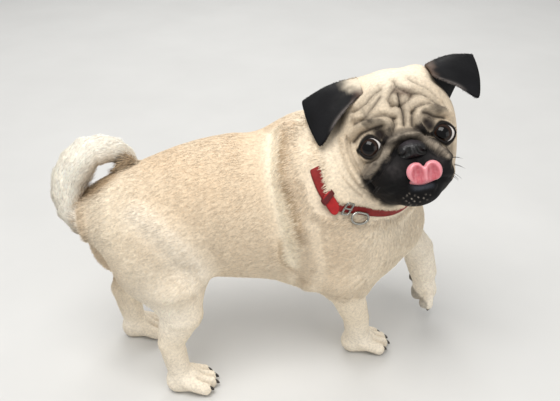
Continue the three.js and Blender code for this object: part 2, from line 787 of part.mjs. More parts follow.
// Claws: short bent cones, one for each toe
const clawTube = (root, dir, size) => {
  const down = unit(add(dir, [0, 0, -0.5]));
  const points = [
    sub(root, mul(dir, 2.5)),
    add(root, mul(dir, CLAW_LENGTH * 0.35)),
    add(add(root, mul(dir, CLAW_LENGTH * 0.35)), mul(down, CLAW_LENGTH * 0.55)),
  ];
  return tubeAlong(points, [2.3 * size, 1.9 * size, 0.5 * size], 5);
};
for (const [name, paw] of Object.entries(PAWS)) {
  paw.claws.forEach((claw, i) => {
    const solid = clawTube(claw.root, claw.dir, 1).intersect(floorUp);
    solids[name] = solids[name].subtract(clawTube(claw.root, claw.dir, 1.16));
    solids[`${name.replace('paw', 'claw')}_${i + 1}`] = solid;
  });
}

// Head with sockets, lids and mouth
const HEAD_LO = [10, -122, 150];
const HEAD_HI = [196, 62, 336];
const FACE_PLANE = headPoint([4, 0, 0]);
const FACE_NORMAL = headWay(unit([1, 0, -0.6]));
const faceSide = beyond(FACE_PLANE, FACE_NORMAL);
const faceSideWide = beyond(sub(FACE_PLANE, mul(FACE_NORMAL, JOINT_GAP)), FACE_NORMAL);
const headMesh = wholeIn(HEAD_LO, HEAD_HI, HEAD_CELL).intersect(headSide);
const faceMesh = wholeIn(HEAD_LO, HEAD_HI, FACE_CELL).intersect(headSide).intersect(faceSide);
const inHead = (points) => points.map(headPoint);
const lidRing = (side) => {
  const c = eyeCentre(side);
  const gaze = unit([1, side * 0.22, 0.02]);
  const right = unit(cross([0, 0, 1], gaze));
  const up = cross(gaze, right);
  const stations = [];
  const steps = 20;
  for (let i = 0; i < steps; i += 1) {
    const a = (2 * Math.PI * i) / steps;
    const open = 10.6;
    const radial = add(mul(right, Math.cos(a) * open), mul(up, Math.sin(a) * open * 0.92));
    const middle = add(add(c, mul(gaze, 5.4)), radial);
    const out = unit(radial);
    const ring = [];
    for (let s = 0; s < 6; s += 1) {
      const b = (2 * Math.PI * s) / 6;
      const round = add(mul(out, 3 * Math.cos(b)), mul(gaze, 2.6 * Math.sin(b)));
      ring.push(headPoint(add(middle, round)));
    }
    stations.push(ring);
  }
  return ringAlong(stations);
};
const mouthSide = (side) => {
  const line = [
    [62, side * 7, -37],
    [58, side * 17, -38],
    [49, side * 29, -41],
    [37, side * 39, -42],
    [25, side * 45, -40],
  ];
  return tubeAlong(inHead(line), [1.7, 1.8, 1.8, 1.7, 1.2], 6);
};
const eyeBall = (side, grow) => {
  const g = new THREE.SphereGeometry(EYE_RADIUS + grow, 16, 11);
  const c = headPoint(eyeCentre(side));
  g.applyMatrix4(
    new THREE.Matrix4().makeBasis(
      new THREE.Vector3(...HEAD_L),
      new THREE.Vector3(...HEAD_F),
      new THREE.Vector3(...mul(HEAD_U, -1)),
    ),
  );
  g.translate(...c);
  return solidOf(g);
};

// Nose pad with two comma-shaped nostrils
const noseField = (p) => {
  const q = toHead(p);
  let d = egg([50, 0.5, -9.5], [10.5, 10.5, 9.5])(q);
  d = smin(d, egg([53, -5.5, -9.5], [7.5, 6.5, 7.5])(q), 3);
  d = smin(d, egg([53, 6.5, -9.5], [7.5, 6.5, 7.5])(q), 3);
  for (const side of [-1, 1]) {
    const nostril = chain([
      [[61, 0.5 + side * 4.6, -9.5], 2.1],
      [[59.5, 0.5 + side * 7.5, -12], 1.8],
      [[56.5, 0.5 + side * 11.5, -12.4], 1.1],
    ]);
    d = smax(d, -nostril(q), 1.2);
  }
  return d;
};
const noseCentre = headPoint([52, 0, -9]);
const noseSolid = meshField(
  noseField,
  sub(noseCentre, [19, 19, 19]),
  add(noseCentre, [19, 19, 19]),
  NOSE_CELL,
);
const noseRoom = grown(noseSolid, noseField, JOINT_GAP);

// Tongue: comes out of the mouth and curls up over the lip in two lobes
const tongueField = (p) => {
  const q = toHead(p);
  let d = egg([52, 2.5, -37], [14, 11, 4.2])(q);
  d = smin(d, egg([62, -1.5, -29], [4.6, 8.5, 8.6])(q), 3);
  d = smin(d, egg([62.5, 13, -30], [4.6, 8.5, 9])(q), 3);
  d = smin(d, egg([62, 5, -36], [4.6, 11, 5.5])(q), 3);
  return d;
};
const tongueCentre = headPoint([56, 5, -32]);
const tongueSolid = meshField(
  tongueField,
  sub(tongueCentre, [25, 25, 25]),
  add(tongueCentre, [25, 25, 25]),
  TONGUE_CELL,
);
const tongueRoom = grown(tongueSolid, tongueField, JOINT_GAP);

// Ears: a sheet that rises from the skull, folds over and hangs down in a point
const EARS = {
  ear_right: {
    baseInner: [24, -27, 49],
    baseOuter: [-16, -53, 36],
    crestInner: [15, -29, 65],
    crestOuter: [2, -82.5, 57.5],
    endInner: [30, -29, 50],
    tip: [25, -75, 7],
  },
  ear_left: {
    baseInner: [18, 34, 54],
    baseOuter: [-14, 55, 28],
    crestInner: [13, 35, 65],
    crestOuter: [2, 83, 70.5],
    endInner: [27, 37, 54],
    tip: [22, 76.5, 23.5],
  },
};
const EAR_ACROSS = 7;
const EAR_ALONG = 12;
const earSheet = (ear) => {
  const rows = [];
  for (let i = 0; i <= EAR_ALONG; i += 1) {
    const s = i / EAR_ALONG;
    const row = [];
    for (let j = 0; j <= EAR_ACROSS; j += 1) {
      const t = j / EAR_ACROSS;
      const base = lerp(ear.baseInner, ear.baseOuter, t);
      const crest = lerp(ear.crestInner, ear.crestOuter, t);
      const end = lerp(ear.endInner, ear.tip, t);
      const top = add(crest, [0, 0, 4 * Math.sin(Math.PI * t)]);
      let p;
      if (s < 0.34) {
        p = lerp(base, top, s / 0.34);
      } else {
        const k = (s - 0.34) / 0.66;
        const bulge = mul([7, 0, 1], Math.sin(Math.PI * k) * (0.4 + 0.6 * Math.sin(Math.PI * t)));
        p = add(lerp(top, end, k), bulge);
      }
      row.push(p);
    }
    rows.push(row);
  }
  for (let pass = 0; pass < 2; pass += 1) {
    for (let i = 1; i < EAR_ALONG; i += 1) {
      rows[i] = rows[i].map((p, j) => lerp(p, lerp(rows[i - 1][j], rows[i + 1][j], 0.5), 0.5));
    }
  }
  return rows;
};
const earSolid = (ear, mirror) => {
  const rows = earSheet(ear);
  const ni = rows.length;
  const nj = rows[0].length;
  const verts = [];
  const tris = [];
  for (const face of [1, -1]) {
    for (let i = 0; i < ni; i += 1) {
      for (let j = 0; j < nj; j += 1) {
        const du = sub(rows[Math.min(i + 1, ni - 1)][j], rows[Math.max(i - 1, 0)][j]);
        const dv = sub(rows[i][Math.min(j + 1, nj - 1)], rows[i][Math.max(j - 1, 0)]);
        const n = unit(cross(du, dv));
        const edge = j === 0 || j === nj - 1 || i === ni - 1 ? 0.45 : 1;
        const p = add(rows[i][j], mul(n, (face * mirror * EAR_THICKNESS * edge) / 2));
        verts.push(...headPoint(p));
      }
    }
  }
  const id = (f, i, j) => f * ni * nj + i * nj + j;
  const quad = (a, b, c, d) => {
    if (mirror > 0) tris.push(a, b, c, a, c, d);
    else tris.push(a, c, b, a, d, c);
  };
  for (let i = 0; i + 1 < ni; i += 1) {
    for (let j = 0; j + 1 < nj; j += 1) {
      quad(id(0, i, j), id(0, i + 1, j), id(0, i + 1, j + 1), id(0, i, j + 1));
      quad(id(1, i, j), id(1, i, j + 1), id(1, i + 1, j + 1), id(1, i + 1, j));
    }
  }
  for (let i = 0; i + 1 < ni; i += 1) {
    quad(id(0, i, 0), id(1, i, 0), id(1, i + 1, 0), id(0, i + 1, 0));
    quad(id(0, i + 1, nj - 1), id(1, i + 1, nj - 1), id(1, i, nj - 1), id(0, i, nj - 1));
  }
  for (let j = 0; j + 1 < nj; j += 1) {
    quad(id(0, 0, j + 1), id(1, 0, j + 1), id(1, 0, j), id(0, 0, j));
    quad(id(0, ni - 1, j), id(1, ni - 1, j), id(1, ni - 1, j + 1), id(0, ni - 1, j + 1));
  }
  return solidFrom(verts, tris);
};

let face = faceMesh.add(lidRing(-1)).add(lidRing(1));
face = face.subtract(mouthSide(-1)).subtract(mouthSide(1));
for (const [name, side] of [['right', -1], ['left', 1]]) {
  face = face.subtract(eyeBall(side, JOINT_GAP));
  solids[`eye_${name}`] = eyeBall(side, 0);
}
solids.nose = noseSolid;
solids.tongue = tongueSolid.subtract(noseRoom);
face = face.subtract(noseRoom).subtract(tongueRoom);
solids.ear_right = earSolid(EARS.ear_right, 1);
solids.ear_left = earSolid(EARS.ear_left, -1);
const headRoom = grown(headMesh, dogField, JOINT_GAP * 1.5);
const faceRoom = grown(faceMesh, dogField, JOINT_GAP * 1.5);
solids.face = face;
solids.head = headMesh.subtract(faceSideWide);
for (const name of ['ear_right', 'ear_left']) {
  solids[name] = solids[name].subtract(headRoom).subtract(faceRoom);
}

// Collar: a strap let into the coat round the neck
const COLLAR_STEPS = 40;
const COLLAR_MIDDLE = [84, -6, 240];
const collarBack = unit(cross(cross(COLLAR_NORMAL, [-1, 0, 0.1]), COLLAR_NORMAL));
const collarSide = cross(COLLAR_NORMAL, collarBack);
const collarCentre = add(
  COLLAR_MIDDLE,
  mul(COLLAR_NORMAL, COLLAR_OFFSET - dot(COLLAR_MIDDLE, COLLAR_NORMAL)),
);
const onSurface = (origin, dir) => {
  let lo = 10;
  let hi = 130;
  while (hi - lo > 0.02) {
    const m = (lo + hi) / 2;
    if (dogField(add(origin, mul(dir, m))) < 0) lo = m;
    else hi = m;
  }
  return add(origin, mul(dir, lo));
};
const collarLine = (angle) => {
  const dir = add(mul(collarBack, Math.cos(angle)), mul(collarSide, Math.sin(angle)));
  return onSurface(collarCentre, dir);
};
const outwardAt = (p) => unit(slopeOf(dogField, p, 1));
// The strap hangs lower beside the buckle
const collarSag = (angle) => -8.5 * Math.exp(-(((angle - 0.95) / 0.3) ** 2));
// A point near the collar: angle round the neck, distance across it, height over the coat
const atCollar = (angle, across, height) => {
  const line = collarLine(angle);
  const along = unit(sub(collarLine(angle + 0.03), collarLine(angle - 0.03)));
  const way = unit(cross(outwardAt(line), along));
  const sign = dot(way, COLLAR_NORMAL) > 0 ? 1 : -1;
  const p = settleOnSurface(dogField, add(line, mul(way, (across + collarSag(angle)) * sign)), 12);
  return add(p, mul(outwardAt(p), height));
};
const strapSection = (angle, half, low, high, lean = 0) => [
  atCollar(angle, lean - half, low),
  atCollar(angle, lean + half, low),
  atCollar(angle, lean + half, high),
  atCollar(angle, lean - half, high),
];
const collarRing = (grow) => {
  const stations = [];
  const half = COLLAR_WIDTH / 2 + grow;
  for (let i = 0; i < COLLAR_STEPS; i += 1) {
    const a = (2 * Math.PI * i) / COLLAR_STEPS;
    stations.push(strapSection(a, half, -COLLAR_THICKNESS + 0.6 - grow, 0.6 + grow));
  }
  return ringAlong(stations);
};
// A short band over the strap, from one angle to another
const bandSolid = (from, to, steps, halfAt, low, high, leanAt = () => 0) => {
  const verts = [];
  const tris = [];
  for (let i = 0; i <= steps; i += 1) {
    const t = i / steps;
    const section = strapSection(mix(from, to, t), halfAt(t), low, high, leanAt(t));
    section.forEach((p) => verts.push(...p));
  }
  for (let i = 0; i < steps; i += 1) {
    for (let k = 0; k < 4; k += 1) {
      const a = i * 4 + k;
      const b = i * 4 + ((k + 1) % 4);
      tris.push(a, b, b + 4, a, b + 4, a + 4);
    }
  }
  const z = steps * 4;
  tris.push(0, 2, 1, 0, 3, 2, z, z + 1, z + 2, z, z + 2, z + 3);
  return solidFrom(verts, tris);
};
const TAB_FROM = 0.8;
const TAB_TO = 1.06;
const tabLean = (t) => -6 * t * t;
const tabHalf = (grow) => (t) => {
  const point = Math.max((t - 0.66) / 0.34, 0);
  return (COLLAR_WIDTH / 2 + 0.7) * Math.sqrt(1 - 0.86 * point * point) + grow;
};
const tab = (grow) =>
  bandSolid(TAB_FROM, TAB_TO + grow * 0.02, 9, tabHalf(grow), 0.9 - grow, 3 + grow, tabLean);
const strapRoom = collarRing(JOINT_GAP);
const keeperBlock = bandSolid(0.81, 0.88, 2, () => COLLAR_WIDTH / 2 + 2, -0.6, 4.2);
const keeperRoom = bandSolid(0.805, 0.885, 2, () => COLLAR_WIDTH / 2 + 2.3, -0.9, 5);
const buckleBlock = bandSolid(1.09, 1.2, 3, () => COLLAR_WIDTH / 2 + 2, 0.95, 3.1);
const buckleWindow = bandSolid(1.12, 1.17, 2, () => COLLAR_WIDTH / 2, -1, 6);
const RING_ANGLE = 1.35;
const RING_RADIUS = 6.8;
const ringPath = () => {
  const stations = [];
  const steps = 20;
  const spot = (f) => {
    const across = Math.min(-7.4 + RING_RADIUS * Math.sin(f), -1.6);
    return atCollar(RING_ANGLE + (RING_RADIUS * Math.cos(f)) / 62, across, 2.9);
  };
  for (let i = 0; i < steps; i += 1) {
    const f = (2 * Math.PI * i) / steps;
    const p = spot(f);
    const dir = unit(sub(spot(f + 0.1), spot(f - 0.1)));
    const out = outwardAt(p);
    const side = unit(cross(dir, out));
    const top = cross(side, dir);
    const ring = [];
    for (let k = 0; k < 6; k += 1) {
      const b = (2 * Math.PI * k) / 6;
      ring.push(add(p, add(mul(side, 1.2 * Math.cos(b)), mul(top, 1.2 * Math.sin(b)))));
    }
    stations.push(ring);
  }
  return ringAlong(stations);
};
solids.collar_strap = collarRing(0);
solids.strap_end = tab(0).subtract(strapRoom);
const neckRoom = grown(solids.neck, dogField, JOINT_GAP * 1.5);
solids.ear_right = solids.ear_right.subtract(strapRoom).subtract(neckRoom);
solids.collar_keeper = keeperBlock.subtract(strapRoom).subtract(tab(JOINT_GAP));
solids.collar_buckle = buckleBlock.subtract(buckleWindow).subtract(strapRoom).subtract(tab(JOINT_GAP));
solids.collar_ring = ringPath();
for (const name of ['head', 'face', 'neck', 'torso']) {
  solids[name] = solids[name].subtract(strapRoom).subtract(keeperRoom);
}

// Colours and surface character of each kind of node
const LOOKS = {
  fawn: { color: 0xd9c09a, roughness: 0.9, metalness: 0 },
  cream: { color: 0xe9dcc3, roughness: 0.9, metalness: 0 },
  black_coat: { color: 0x1d1b1c, roughness: 0.85, metalness: 0 },
  nose_skin: { color: 0x141314, roughness: 0.45, metalness: 0 },
  eye_gloss: { color: 0x16100e, roughness: 0.06, metalness: 0 },
  tongue_skin: { color: 0xd9737b, roughness: 0.4, metalness: 0 },
  claw_horn: { color: 0x2c2624, roughness: 0.5, metalness: 0 },
  red_strap: { color: 0xa5161c, roughness: 0.6, metalness: 0 },
  steel: { color: 0xb9bcc0, roughness: 0.25, metalness: 1 },
};
const lookOf = (name) => {
  if (name.startsWith('eye')) return 'eye_gloss';
  if (name.startsWith('ear')) return 'black_coat';
  if (name.includes('claw')) return 'claw_horn';
  if (name === 'nose') return 'nose_skin';
  if (name === 'tongue') return 'tongue_skin';
  if (name === 'tail' || name.includes('paw')) return 'cream';
  if (name === 'collar_strap' || name === 'strap_end' || name === 'collar_keeper') return 'red_strap';
  if (name === 'collar_buckle' || name === 'collar_ring') return 'steel';
  return 'fawn';
};

const geometryOf = (solid) => {
  const mesh = mainBody(solid).getMesh();
  const g = new THREE.BufferGeometry();
  const pos = new Float32Array(mesh.triVerts.length * 3);
  mesh.triVerts.forEach((v, i) => {
    for (let a = 0; a < 3; a += 1) pos[i * 3 + a] = mesh.vertProperties[v * mesh.numProp + a];
  });
  g.setAttribute('position', new THREE.BufferAttribute(pos, 3));
  g.computeVertexNormals();
  return g;
};
const group = new THREE.Group();
group.name = 'pug';
const bounds = new THREE.Box3();
for (const [name, solid] of Object.entries(solids)) {
  const material = new THREE.MeshStandardMaterial(LOOKS[lookOf(name)]);
  material.name = lookOf(name);
  const mesh = new THREE.Mesh(geometryOf(solid), material);
  mesh.name = name;
  mesh.geometry.computeBoundingBox();
  bounds.union(mesh.geometry.boundingBox);
  group.add(mesh);
}
const middle = bounds.getCenter(new THREE.Vector3());
for (const mesh of group.children) {
  mesh.geometry.translate(-middle.x, -middle.y, 0);
}
export default group;
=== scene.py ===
# Life-size standing pug: skin, coat, eyes, nose, tongue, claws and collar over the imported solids.
# Shapes are worked out in millimetres in the dog's own frame (+X the way the body heads,
# +Y its left, +Z up) and moved into the part's frame when a mesh is made.
import functools
import math

import bpy
import numpy as np
from mathutils import Matrix, Vector


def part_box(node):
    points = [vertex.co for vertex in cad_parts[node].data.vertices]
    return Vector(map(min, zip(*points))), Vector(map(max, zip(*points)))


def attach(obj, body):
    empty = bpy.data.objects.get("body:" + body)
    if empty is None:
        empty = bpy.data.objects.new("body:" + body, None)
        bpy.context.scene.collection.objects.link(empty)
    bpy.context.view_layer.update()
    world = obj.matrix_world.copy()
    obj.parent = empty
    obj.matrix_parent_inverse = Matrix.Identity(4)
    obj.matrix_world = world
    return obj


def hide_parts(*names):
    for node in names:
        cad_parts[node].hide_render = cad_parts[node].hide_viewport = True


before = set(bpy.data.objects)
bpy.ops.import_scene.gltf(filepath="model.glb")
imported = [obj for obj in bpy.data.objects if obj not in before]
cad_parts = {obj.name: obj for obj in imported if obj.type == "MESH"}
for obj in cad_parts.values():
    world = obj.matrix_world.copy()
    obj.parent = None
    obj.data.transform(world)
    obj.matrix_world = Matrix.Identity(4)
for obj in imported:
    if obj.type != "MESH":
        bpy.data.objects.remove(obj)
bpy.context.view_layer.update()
rng = np.random.RandomState(11)

# Driving sizes in millimetres, as in the solids
WITHERS_HEIGHT = 268
CHEST_HALF_WIDTH = 66
WAIST_HALF_WIDTH = 57
HEAD_SIZE = 0.949
EYE_RADIUS = 11
EYE_SPACING = 62.6
COLLAR_WIDTH = 11

# Fineness of the meshes and of the coat
HEAD_CELL = 1.15
BODY_CELL = 2.6
SMALL_CELL = 0.7
TUFTS = 236000
EAR_TUFTS = 7000
PIECE_LIMIT = 33000


def unit(v):
    v = np.asarray(v, float)
    return v / np.linalg.norm(v)


def unit_rows(v):
    return v / np.maximum(np.linalg.norm(v, axis=-1, keepdims=True), 1e-9)


def length_of(v):
    return np.sqrt((v * v).sum(0))


HEAD_ORIGIN = np.array([106.5, -32.3, 253.8])
HEAD_F = unit([-0.105, -0.874, 0.474])
HEAD_L = unit(np.cross(np.cross(HEAD_F, [0.986, -0.032, 0.161]), HEAD_F))
HEAD_U = np.cross(HEAD_F, HEAD_L)
HEAD_AXES = np.stack([HEAD_F, HEAD_L, HEAD_U])


def from_head(q):
    """Head-frame points (n, 3) to the dog's frame."""
    return HEAD_ORIGIN + HEAD_SIZE * (np.atleast_2d(q) @ HEAD_AXES)


def to_head(p):
    """Dog-frame points (3, n) to the head frame: forward, left and up."""
    return HEAD_AXES @ ((p - HEAD_ORIGIN[:, None]) / HEAD_SIZE)


eye_lo, eye_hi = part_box("eye_right")
EYE_HEAD = np.array([36.5, EYE_SPACING / 2 / HEAD_SIZE, 0])
eye_here = from_head(EYE_HEAD * [1, -1, 1])[0]
OFFSET = np.array([(eye_lo[a] + eye_hi[a]) * 500 - eye_here[a] for a in range(3)])
OFFSET[2] = 0


# Soft steps and bumps from 0 to 1
def smooth(x, lo, hi):
    t = np.clip((x - lo) / (hi - lo), 0, 1)
    return t * t * (3 - 2 * t)


def fade(x, lo, hi):
    return 1 - smooth(x, lo, hi)


def bell(x, width):
    return np.exp(-((x / width) ** 2))


def spot(x, y, middle, reach):
    return np.exp(-(((x - middle[0]) / reach[0]) ** 2 + ((y - middle[1]) / reach[1]) ** 2))


# Distance-like shapes, negative inside; p is (3, n)
def oval(x, y, z, rx, ry, rz):
    a, b, c = x / rx, y / ry, z / rz
    near = np.sqrt(a * a + b * b + c * c)
    slope = np.sqrt((a / rx) ** 2 + (b / ry) ** 2 + (c / rz) ** 2)
    return near * (near - 1) / np.maximum(slope, 1e-6)


def egg(p, c, r):
    return oval(p[0] - c[0], p[1] - c[1], p[2] - c[2], *r)


def leaning_egg(p, c, r, angle):
    """An egg turned about the sideways axis."""
    ca, sa = math.cos(angle), math.sin(angle)
    x, y, z = p[0] - c[0], p[1] - c[1], p[2] - c[2]
    return oval(ca * x - sa * z, y, ca * z + sa * x, *r)


def limb(p, a, b, ra, rb):
    a = np.asarray(a, float)
    ab = np.asarray(b, float) - a
    x, y, z = p[0] - a[0], p[1] - a[1], p[2] - a[2]
    t = np.clip((x * ab[0] + y * ab[1] + z * ab[2]) / (ab @ ab), 0, 1)
    far = np.sqrt((x - ab[0] * t) ** 2 + (y - ab[1] * t) ** 2 + (z - ab[2] * t) ** 2)
    return far - (ra + (rb - ra) * t)


def nearest(distances):
    return functools.reduce(np.minimum, distances)


def chain(p, stations):
    return nearest(limb(p, a, b, ra, rb) for (a, ra), (b, rb) in zip(stations, stations[1:]))


def path_gap(p, path):
    return chain(p, [(point, 0) for point in path])


def smin(a, b, k):
    h = np.maximum(k - np.abs(a - b), 0) / k
    return np.minimum(a, b) - h * h * k * 0.25


def smax(a, b, k):
    return -smin(-a, -b, k)


def joined(d, *shapes):
    """Shapes melted into d one after the other, each over its own width."""
    for shape, width in shapes:
        d = smin(d, shape, width)
    return d


# Trunk: an elliptical section that changes along the body
TRUNK_STATIONS = np.array([
    # x, centre height, half height, half width
    [-178, 180, 25, 31],
    [-160, 179, 39, 45],
    [-125, 181, 51.5, 54],
    [-85, 180.5, 67, WAIST_HALF_WIDTH],
    [-45, 180.5, 74.5, WAIST_HALF_WIDTH + 2],
    [-10, 178, 77, WAIST_HALF_WIDTH + 6],
    [30, 176, WITHERS_HEIGHT - 176, CHEST_HALF_WIDTH],
    [65, 168, 84, CHEST_HALF_WIDTH - 2],
    [98, 160, 62, 56],
    [122, 158, 36, 36],
], float)


def trunk_table():
    """The sections along a smooth curve through the stations."""
    s = TRUNK_STATIONS
    x = np.linspace(s[0, 0], s[-1, 0], 601)
    i = np.clip(np.searchsorted(s[:, 0], x) - 1, 0, len(s) - 2)
    here, ahead = s[i], s[i + 1]
    before, after = s[np.maximum(i - 1, 0)], s[np.minimum(i + 2, len(s) - 1)]
    step = (ahead - here)[:, :1]
    t = (x[:, None] - here[:, :1]) / step
    m0 = (ahead - before) / (ahead - before)[:, :1] * step
    m1 = (after - here) / (after - here)[:, :1] * step
    t2, t3 = t * t, t * t * t
    rows = (2 * t3 - 3 * t2 + 1) * here + (t3 - 2 * t2 + t) * m0
    return x, rows + (3 * t2 - 2 * t3) * ahead + (t3 - t2) * m1


TRUNK_X, TRUNK_ROWS = trunk_table()


def trunk(p):
    x = np.clip(p[0], TRUNK_X[0], TRUNK_X[-1])
    middle, tall, wide = (np.interp(x, TRUNK_X, TRUNK_ROWS[:, k]) for k in (1, 2, 3))
    over = p[0] - x
    return oval(over, p[1], p[2] - middle, np.where(over < 0, 12.0, 26.0), wide, tall)


# Chains of (point, radius) for the limbs, the rolls of the shoulder and the tail
FORE_RIGHT = [((56, -42, 122), 27), ((66, -36, 92), 19), ((80, -24, 50), 14.5), ((84, -18, 22), 14)]
FORE_LEFT = [((96, 40, 160), 30), ((124, 36, 134), 24), ((158, 28, 96), 18.5), ((167, 26, 66), 16)]
HIND_RIGHT = [((-104, -44, 124), 30), ((-100, -48, 96), 23), ((-112, -50, 62), 14),
              ((-106, -50, 22), 12.5)]
HIND_LEFT = [((-134, 40, 120), 31), ((-144, 42, 94), 25), ((-160, 42, 66), 15),
             ((-154, 42, 22), 12.5)]
SHOULDER_ROLLS = [((10, -16, 262), 12), ((4, -50, 232), 12), ((12, -60, 190), 12),
                  ((24, -56, 150), 11), ((26, -46, 118), 11)]
TAIL = [((-166, 0, 168), 18), ((-184, -1, 176), 15), ((-195, 1, 188), 14.5), ((-197, 4, 204), 16.5),
        ((-195, 7, 219), 16.5), ((-187, 10, 232), 17), ((-178, 16, 240), 15.5),
        ((-165, 24, 240), 14.5), ((-153, 32, 235), 13), ((-144, 40, 224), 11.5),
        ((-139, 47, 210), 9.5), ((-138, 52, 198), 6.5)]
TAIL_HOLE = np.array([[-168.0], [12], [214]])
TAIL_CORNER = np.array([[-179], [10], [206]])
TAIL_FILL = ((-144, 20, 222), (-137, 18, 227), 5.5, 6)


def body_field(p):
    return joined(
        trunk(p),
        (egg(p, (92, 0, 150), (44, 50, 50)), 24),
        (limb(p, (38, 0, 208), (90, -6, 228), 59, 53), 26),
        (leaning_egg(p, (58, -40, 150), (36, 30, 62), -0.25), 14),
        (leaning_egg(p, (84, 38, 156), (36, 28, 52), -0.5), 18),
        (leaning_egg(p, (-116, -36, 150), (46, 30, 56), -0.35), 16),
        (leaning_egg(p, (-146, 36, 140), (44, 30, 54), 0.12), 16),
        (chain(p, SHOULDER_ROLLS), 10),
        (chain(p, FORE_RIGHT), 12),
        (chain(p, FORE_LEFT), 12),
        (chain(p, HIND_RIGHT), 10),
        (chain(p, HIND_LEFT), 10),
    )


def head_mass(q):
    ear_roots = smin(egg(q, (-12, -26, 54), (20, 18, 15)), egg(q, (4, 26, 55), (20, 15, 15)), 8)
    lips = smin(egg(q, (38, -16, -25), (22, 20, 18)), egg(q, (38, 18, -25), (22, 20, 18)), 6)
    d = joined(
        egg(q, (-8, 0, 17), (57, 59, 55)),
        (egg(q, (18, 1, -27), (40, 43, 33)), 14),
        (ear_roots, 7),
        (egg(q, (-6, -30, -12), (36, 38, 44)), 12),
        (egg(q, (-4, 24, -8), (34, 29, 36)), 12),
        (egg(q, (-26, -22, -10), (44, 58, 54)), 18),
        (lips, 7),
        (egg(q, (36, 2, -47), (22, 22, 14)), 5),
    )
    for side in (-1, 1):
        d = smax(d, -egg(q, (50, 33 * side, 0), (13, 13, 12)), 4)
    return d


def head_field(p):
    return head_mass(to_head(p)) * HEAD_SIZE


def masses(p):
    return body_field(p), head_field(p), chain(p, TAIL)


# Collar: a plane across the neck, and the angle round it from the nape
COLLAR_NORMAL = unit([0.393, -0.658, 0.642])
COLLAR_OFFSET = 199.7
COLLAR_BACK = unit(np.cross(np.cross(COLLAR_NORMAL, [-1, 0, 0.1]), COLLAR_NORMAL))
COLLAR_SIDE = np.cross(COLLAR_NORMAL, COLLAR_BACK)
COLLAR_MIDDLE = np.array([84.0, -6, 240])
COLLAR_CENTRE = COLLAR_MIDDLE + COLLAR_NORMAL * (COLLAR_OFFSET - COLLAR_MIDDLE @ COLLAR_NORMAL)


def along_collar(p):
    return COLLAR_NORMAL @ p - COLLAR_OFFSET


def collar_sag(angle):
    """The strap hangs lower beside the buckle."""
    return -8.5 * bell(angle - 0.95, 0.3)


def collar_angle(p):
    v = p - COLLAR_CENTRE[:, None]
    return np.arctan2(COLLAR_SIDE @ v, COLLAR_BACK @ v)


def strap_gap(p):
    return along_collar(p) - collar_sag(collar_angle(p))


def nape_cover(p):
    """1 at the nape, where the coat closes over the strap, 0 at the sides and throat."""
    return fade(np.abs(collar_angle(p)), 0.36, 0.6)


def dog_field(p):
    return smin(body_field(p), head_field(p), 14) + 3 * bell(along_collar(p), 9)


# Paws: a pad body and four toes fanned across it
FOOT_SPREAD = 11
FORWARD, LEFTWARD, UPWARD = np.eye(3)
RAISED_DOWN = unit([0.2, -0.06, -1])
RAISED_AIM = np.array([1, -0.25, 0.15])
RAISED_FRONT = unit(RAISED_AIM - RAISED_DOWN * (RAISED_AIM @ RAISED_DOWN))
RAISED_SIDE = np.cross(RAISED_FRONT, RAISED_DOWN)
PAWS = {
    "forepaw_right": ((84, -16, 11.5), FORWARD, LEFTWARD, UPWARD, -4, 28),
    "forepaw_left": ((170, 26, 48), RAISED_DOWN, RAISED_SIDE, RAISED_FRONT, 1, 25),
    "hindpaw_right": ((-104, -50, 11.5), FORWARD, LEFTWARD, UPWARD, -4, 28),
    "hindpaw_left": ((-152, 42, 11.5), FORWARD, LEFTWARD, UPWARD, -4, 28),
}
RAISED = PAWS["forepaw_left"]
LEGS = {
    "foreleg_right": (FORE_RIGHT, PAWS["forepaw_right"]),
    "foreleg_left": (FORE_LEFT, RAISED),
    "hindleg_right": (HIND_RIGHT, PAWS["hindpaw_right"]),
    "hindleg_left": (HIND_LEFT, PAWS["hindpaw_left"]),
}


def paw_parts(heel, forward, side, up, drop, reach):
    """A way to place a point by forward, side and up, and the two ends of each toe."""
    heel = np.asarray(heel, float)

    def at(f, s, u):
        return heel + forward * f + side * s + up * u

    toes = []
    for i in (-1.5, -0.5, 0.5, 1.5):
        length = reach - (6 if abs(i) > 1 else 0)
        toes.append((at(6, i * FOOT_SPREAD * 0.62, 3), at(length, i * FOOT_SPREAD * 0.82, drop)))
    return at, toes


def paw_field(p, paw):
    at, toes = paw_parts(*paw)
    pad = limb(p, at(-4, 0, 0), at(8, 0, 0), 13.5, 14.5)
    return joined(pad, *((limb(p, inner, tip, 8, 7.2), 2.6) for inner, tip in toes))


def leg_field(p, stations, paw):
    return np.minimum(chain(p, stations[1:]), paw_field(p, paw))


def toe_groove(p, paw):
    """Depth of the creases between the toes."""
    v = p - np.asarray(paw[0], float)[:, None]
    f, s = paw[1] @ v, paw[2] @ v
    spacing = FOOT_SPREAD * (0.62 + 0.2 * np.clip((f - 6) / 20, 0, 1))
    gap = np.minimum(np.abs(s), np.abs(np.abs(s) - spacing))
    return 1.6 * bell(gap, 1.3) * smooth(f, 9, 17) * fade(paw_field(p, paw), 2, 7)


def pad_field(p):
    """Pads under the raised paw."""
    at, toes = paw_parts(*RAISED)
    pads = [limb(p, at(11, -3, -8.5), at(11, 4, -8.5), 7, 7),
            limb(p, at(-10, 2, -11), at(-8, 2, -11.5), 4, 4)]
    for _, tip in toes:
        under = tip - RAISED_FRONT * 4.5
        pads.append(limb(p, under - RAISED_DOWN * 2, under, 4.6, 4.4))
    return nearest(pads)


def coat_depth(p, d_body, d_head, d_tail):
    """How far the skin lies under the coat's tips."""
    headed = smooth(d_body - d_head, -6, 30)
    depth = 1.9 - 1.25 * headed - 0.7 * fade(p[2], 60, 120) * (1 - headed)
    tailed = smooth(d_body - d_tail, 2, 16)
    return depth + (1.2 - 3.6 * fade(length_of(p - TAIL_HOLE), 20, 36)) * tailed


